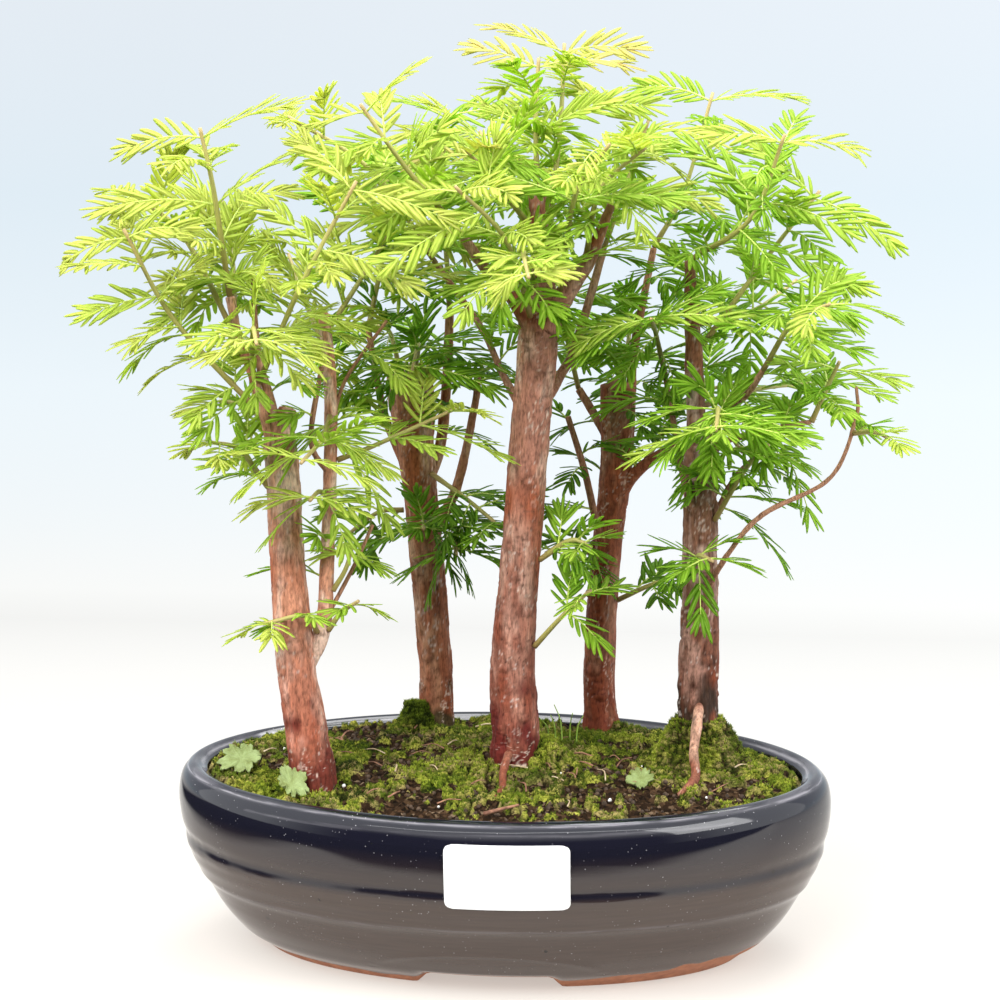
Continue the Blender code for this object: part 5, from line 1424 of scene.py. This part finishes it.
for place, wanted in TUFTS_ON_MOUND.items():
    body, crown = mound(place, MOUND_ROWS, MOUND_SIDES)
    area = (np.arange(MOUND_ROWS)[:, None] < MOUND_TUFTED) * np.ones((1, MOUND_SIDES))
    area = area * np.arange(1, MOUND_ROWS + 1)[:, None]
    pick = draw.choice(MOUND_ROWS * MOUND_SIDES, wanted, replace=False, p=area.ravel() / area.sum())
    spots = body.reshape(-1, 3)[pick]
    away = spots - np.array([*MOSS[place][0], spots[:, 2].min() - 4])
    feet = np.vstack([feet, spots])
    ups = np.vstack([ups, unit(away + np.array([0, 0, 8.0]))])
    # Painted shade: tufts on the cushions are darker where the crowns are low, in the clefts
    tones = np.append(tones, 0.12 + 0.55 * crown.ravel()[pick] + 0.3 * noise(spots / 9.0, 62)
                      + 0.15 * draw.uniform(-1, 1, wanted))
sizes = draw.uniform(0.7, 1.7, len(feet))
verts, tris = tufts(feet, ups, sizes, draw)
tuft_mesh = mesh_of("moss_tufts", verts, tris)
# Each of a tuft's three blades has three points at its foot and one at its tip; the foot points get a painted
# shade
shade = np.tile([0.35, 0.35, 0.35, 1.0], 3 * len(feet))
give(tuft_mesh, "tone", np.repeat(np.clip(tones, 0, 1), 12) * shade)
dress(new_piece("moss_tufts", tuft_mesh, tuft_finish()), "moss")

# Liverworts: leathery pads of forked lobes, rooted at the front and standing up behind, with scalloped edges.
# Each is a closed pad with an upper and a lower side, in place of its node.
# Centre, half width, half depth, turn in degrees, and rise towards the back
LIVERWORTS = {
    "front_left": (-82, -51.5, 8.0, 5.0, -32, 0.85),
    "left": (-110, -17, 9.5, 8.0, 0, 0.55),
    "front_right": (61, -29, 6.0, 5.2, 20, 0.4),
}


def liverwort_finish():
    """Leathery pale green with a net of fine cells."""
    made, tree, shader = finish_of("liverwort", 0.5, Specular_IOR_Level=0.25)
    spot = own_spot(tree)
    cells = node(tree, "TexVoronoi", Vector=spot, Scale=1300.0).outputs["Distance"]
    colour = ramp(tree, cloud(tree, spot, 260.0, 3.0), (0.3, (0.15, 0.18, 0.05)), (0.7, (0.27, 0.34, 0.14)))
    net = ramp(tree, cells, (0.0, (0.4, 0.4, 0.4)), (0.4, (0, 0, 0)))
    colour = blend(tree, net, colour, (0.34, 0.42, 0.19))
    tree.links.new(colour, shader.inputs["Base Color"])
    roughen(tree, shader, cells, 0.4, 0.0003)
    return made


def pad(x, y, half_wide, half_deep, lie, steep, rows=14, sides=110):
    """A pad of five forked lobes, as the grids of its upper and lower side.

    Its radius is 0.42 + 0.58 |cos 2.5t|^0.45, notched at each lobe's tip, and its rim is raised.
    """
    share = np.linspace(0.03, 1, rows)[:, None]
    turn = (np.arange(sides) * 2 * math.pi / sides)[None]
    wave = np.abs(np.cos(2.5 * turn + x))
    lobe = 0.42 + 0.58 * wave ** 0.45 - 0.20 * np.exp(-((1 - wave) / 0.02) ** 2)
    lobe = lobe + 0.04 * np.cos(31 * turn + y)
    lobe *= 1 + 0.22 * np.cos(turn + y)
    px = share * lobe * half_wide * np.cos(turn)
    py = share * lobe * half_deep * np.sin(turn)
    c, s = math.cos(math.radians(lie)), math.sin(math.radians(lie))
    px, py = x + c * px - s * py, y + s * px + c * py
    rim = 1.5 * share ** 3 + 0.4 * share * np.cos(10 * turn + y)
    z = moss_bed(px, py)[0] + 1.8 + rim + steep * (py - y + half_deep)
    upper = np.stack([px, py, z], -1)
    lower = np.stack([px, py, z - 0.6 - 0.8 * (1 - share)], -1)
    return upper, lower


LIVERWORT = liverwort_finish()
for place, row in LIVERWORTS.items():
    upper, lower = pad(*row)
    rows, sides = upper.shape[:2]
    body = np.vstack([upper.reshape(-1, 3), lower[::-1].reshape(-1, 3)])
    mesh = closed_rings("liverwort_pad_" + place, body, 2 * rows, sides)
    mesh.flip_normals()
    dress(new_piece("liverwort_pad_" + place, mesh, LIVERWORT), "liverwort", "liverwort_" + place)

# Litter: a fallen twig, short brown twigs and pale straws lie on the soil, and a few grass blades stand
# behind the centre stem. Each kind is one piece of thin tubes.
LITTER_SEED = 5
FALLEN_TWIG = [(0, -71, 0.9), (6, -66, 1.0), (13, -61, 0.6)]
# Every third of these is a straw and the others are twigs; half width and half depth of where they lie
LITTER_COUNT = 46
LITTER_REACH = (118, 72)


def thread(rows, radius, sides=7):
    """A thin tube over the soil: rows are x, y and height above the ground."""
    rows = smooth_path(rows, 12)
    z = moss_bed(rows[:, 0], rows[:, 1])[0] + 1.5 + rows[:, 2] + radius
    return tube(np.column_stack([rows[:, :2], z]), np.linspace(radius, radius * 0.6, 12), sides)


def join(parts):
    """One set of points and faces from several tubes."""
    start, verts, quads, ends = 0, [], [], []
    for v, _, q, e in parts:
        verts.append(v)
        quads.append(q + start)
        ends.append(e + start)
        start += len(v)
    return np.vstack(verts), np.vstack(quads), np.vstack(ends)


def plain(name, dark, pale, roughness=0.8):
    """A finish mottled between a dark and a pale colour."""
    made, tree, shader = finish_of(name, roughness)
    mottle = ramp(tree, cloud(tree, own_spot(tree), 400.0, 3.0), (0.3, dark), (0.7, pale))
    tree.links.new(mottle, shader.inputs["Base Color"])
    return made


draw = np.random.default_rng(LITTER_SEED)
twigs, straws = [thread(FALLEN_TWIG, 0.9)], []
for k in range(LITTER_COUNT):
    turn, reach = draw.uniform(0, 2 * math.pi), math.sqrt(draw.uniform(0.05, 0.8))
    x, y = LITTER_REACH[0] * reach * math.cos(turn), LITTER_REACH[1] * reach * math.sin(turn)
    way, long = draw.uniform(0, math.pi), draw.uniform(4, 13)
    dx, dy = long * math.cos(way) / 2, long * math.sin(way) / 2
    bow = draw.uniform(-1.5, 1.5)
    middle = (x - dy * bow / 6, y + dx * bow / 6, draw.uniform(1.0, 2.2))
    rows = [(x - dx, y - dy, 0.6), middle, (x + dx, y + dy, 0.8)]
    (twigs if k % 3 else straws).append(thread(rows, draw.uniform(0.22, 0.42)))
dress(new_piece("fallen_twigs", mesh_of("fallen_twigs", *join(twigs)),
                plain("twig_bark", (0.12, 0.05, 0.03), (0.40, 0.20, 0.12))), "bark_front_left")
dress(new_piece("dry_straws", mesh_of("dry_straws", *join(straws)),
                plain("straw", (0.35, 0.24, 0.14), (0.62, 0.50, 0.34))), "bark_front_left")

GRASS = [(21, 24), (24, 22), (27, 25), (30, 23), (18, 26)]
blades = []
for x, y in GRASS:
    lean = draw.uniform(-1, 1, 2)
    tall = draw.uniform(6, 17)
    middle = (x + 2 * lean[0], y + 2 * lean[1], tall * 0.6)
    rows = np.array([(x, y, 0), middle, (x + 9 * lean[0], y + 8 * lean[1], tall)])
    blades.append(thread(rows, 0.35, 5))
dress(new_piece("grass_blades", mesh_of("grass_blades", *join(blades)),
                plain("grass", (0.16, 0.30, 0.03), (0.36, 0.52, 0.08), 0.5)), "moss")

# Grains: loose dark grains on the bare soil and eight white ones of perlite, each a dented ball. Each kind is
# one piece.
GRAIN_TRIES = 900
GRAIN_COUNT = 420
GRAIN_REACH = (124, 78)
GRAIN_ROWS = 6
GRAIN_SIDES = 8
PERLITE = [(27, -22), (60, -6), (14, 33), (-62, -40), (-20, -58), (88, -34), (49, -46), (-98, 18)]


def grains(name, spots, sizes, draw):
    """A mesh of small round grains: unit spheres of 8 by 6 points, dented by noise and scaled."""
    lat = np.linspace(0.12, math.pi - 0.12, GRAIN_ROWS)[:, None]
    lon = (np.arange(GRAIN_SIDES) * math.pi / 4)[None]
    ball = np.stack([np.sin(lat) * np.cos(lon), np.sin(lat) * np.sin(lon), np.cos(lat) + 0 * lon], -1)
    ball = ball.reshape(-1, 3)
    shift = draw.uniform(0, 50, (len(spots), 1, 3))
    dent = 1 + 0.3 * noise(ball[None] * 1.4 + shift, 71)
    verts = spots[:, None] + ball[None] * dent[..., None] * sizes[:, None, None]
    ids = np.arange(GRAIN_SIDES)
    quads = grid_faces(GRAIN_ROWS, GRAIN_SIDES, True)
    caps = np.stack([ids[::-1], (GRAIN_ROWS - 1) * GRAIN_SIDES + ids])
    step = (np.arange(len(spots)) * len(ball))[:, None, None]
    quads, caps = (quads[None] + step).reshape(-1, 4), (caps[None] + step).reshape(-1, GRAIN_SIDES)
    mesh = mesh_of(name, verts.reshape(-1, 3), quads, caps)
    mesh.flip_normals()
    return mesh


turn = draw.uniform(0, 2 * math.pi, GRAIN_TRIES)
reach = np.sqrt(draw.uniform(0.0, 0.92, GRAIN_TRIES))
gx, gy = GRAIN_REACH[0] * reach * np.cos(turn), GRAIN_REACH[1] * reach * np.sin(turn)
bare = moss_cover(gx, gy) < 0.45
gx, gy = gx[bare][:GRAIN_COUNT], gy[bare][:GRAIN_COUNT]
spots = np.column_stack([gx, gy, soil_surface(gx, gy) + 0.2])
mesh = grains("soil_grains", spots, draw.uniform(0.4, 1.1, len(spots)), draw)
dress(new_piece("soil_grains", mesh, plain("grit", (0.02, 0.013, 0.009), (0.11, 0.07, 0.045), 0.9)), "soil")
spots = np.array(PERLITE, float)
spots = np.column_stack([spots, soil_surface(spots[:, 0], spots[:, 1]) + 0.6])
mesh = grains("perlite", spots, draw.uniform(0.35, 0.9, len(spots)), draw)
dress(new_piece("perlite", mesh, plain("perlite", (0.70, 0.68, 0.64), (0.85, 0.84, 0.82), 0.9)), "soil")
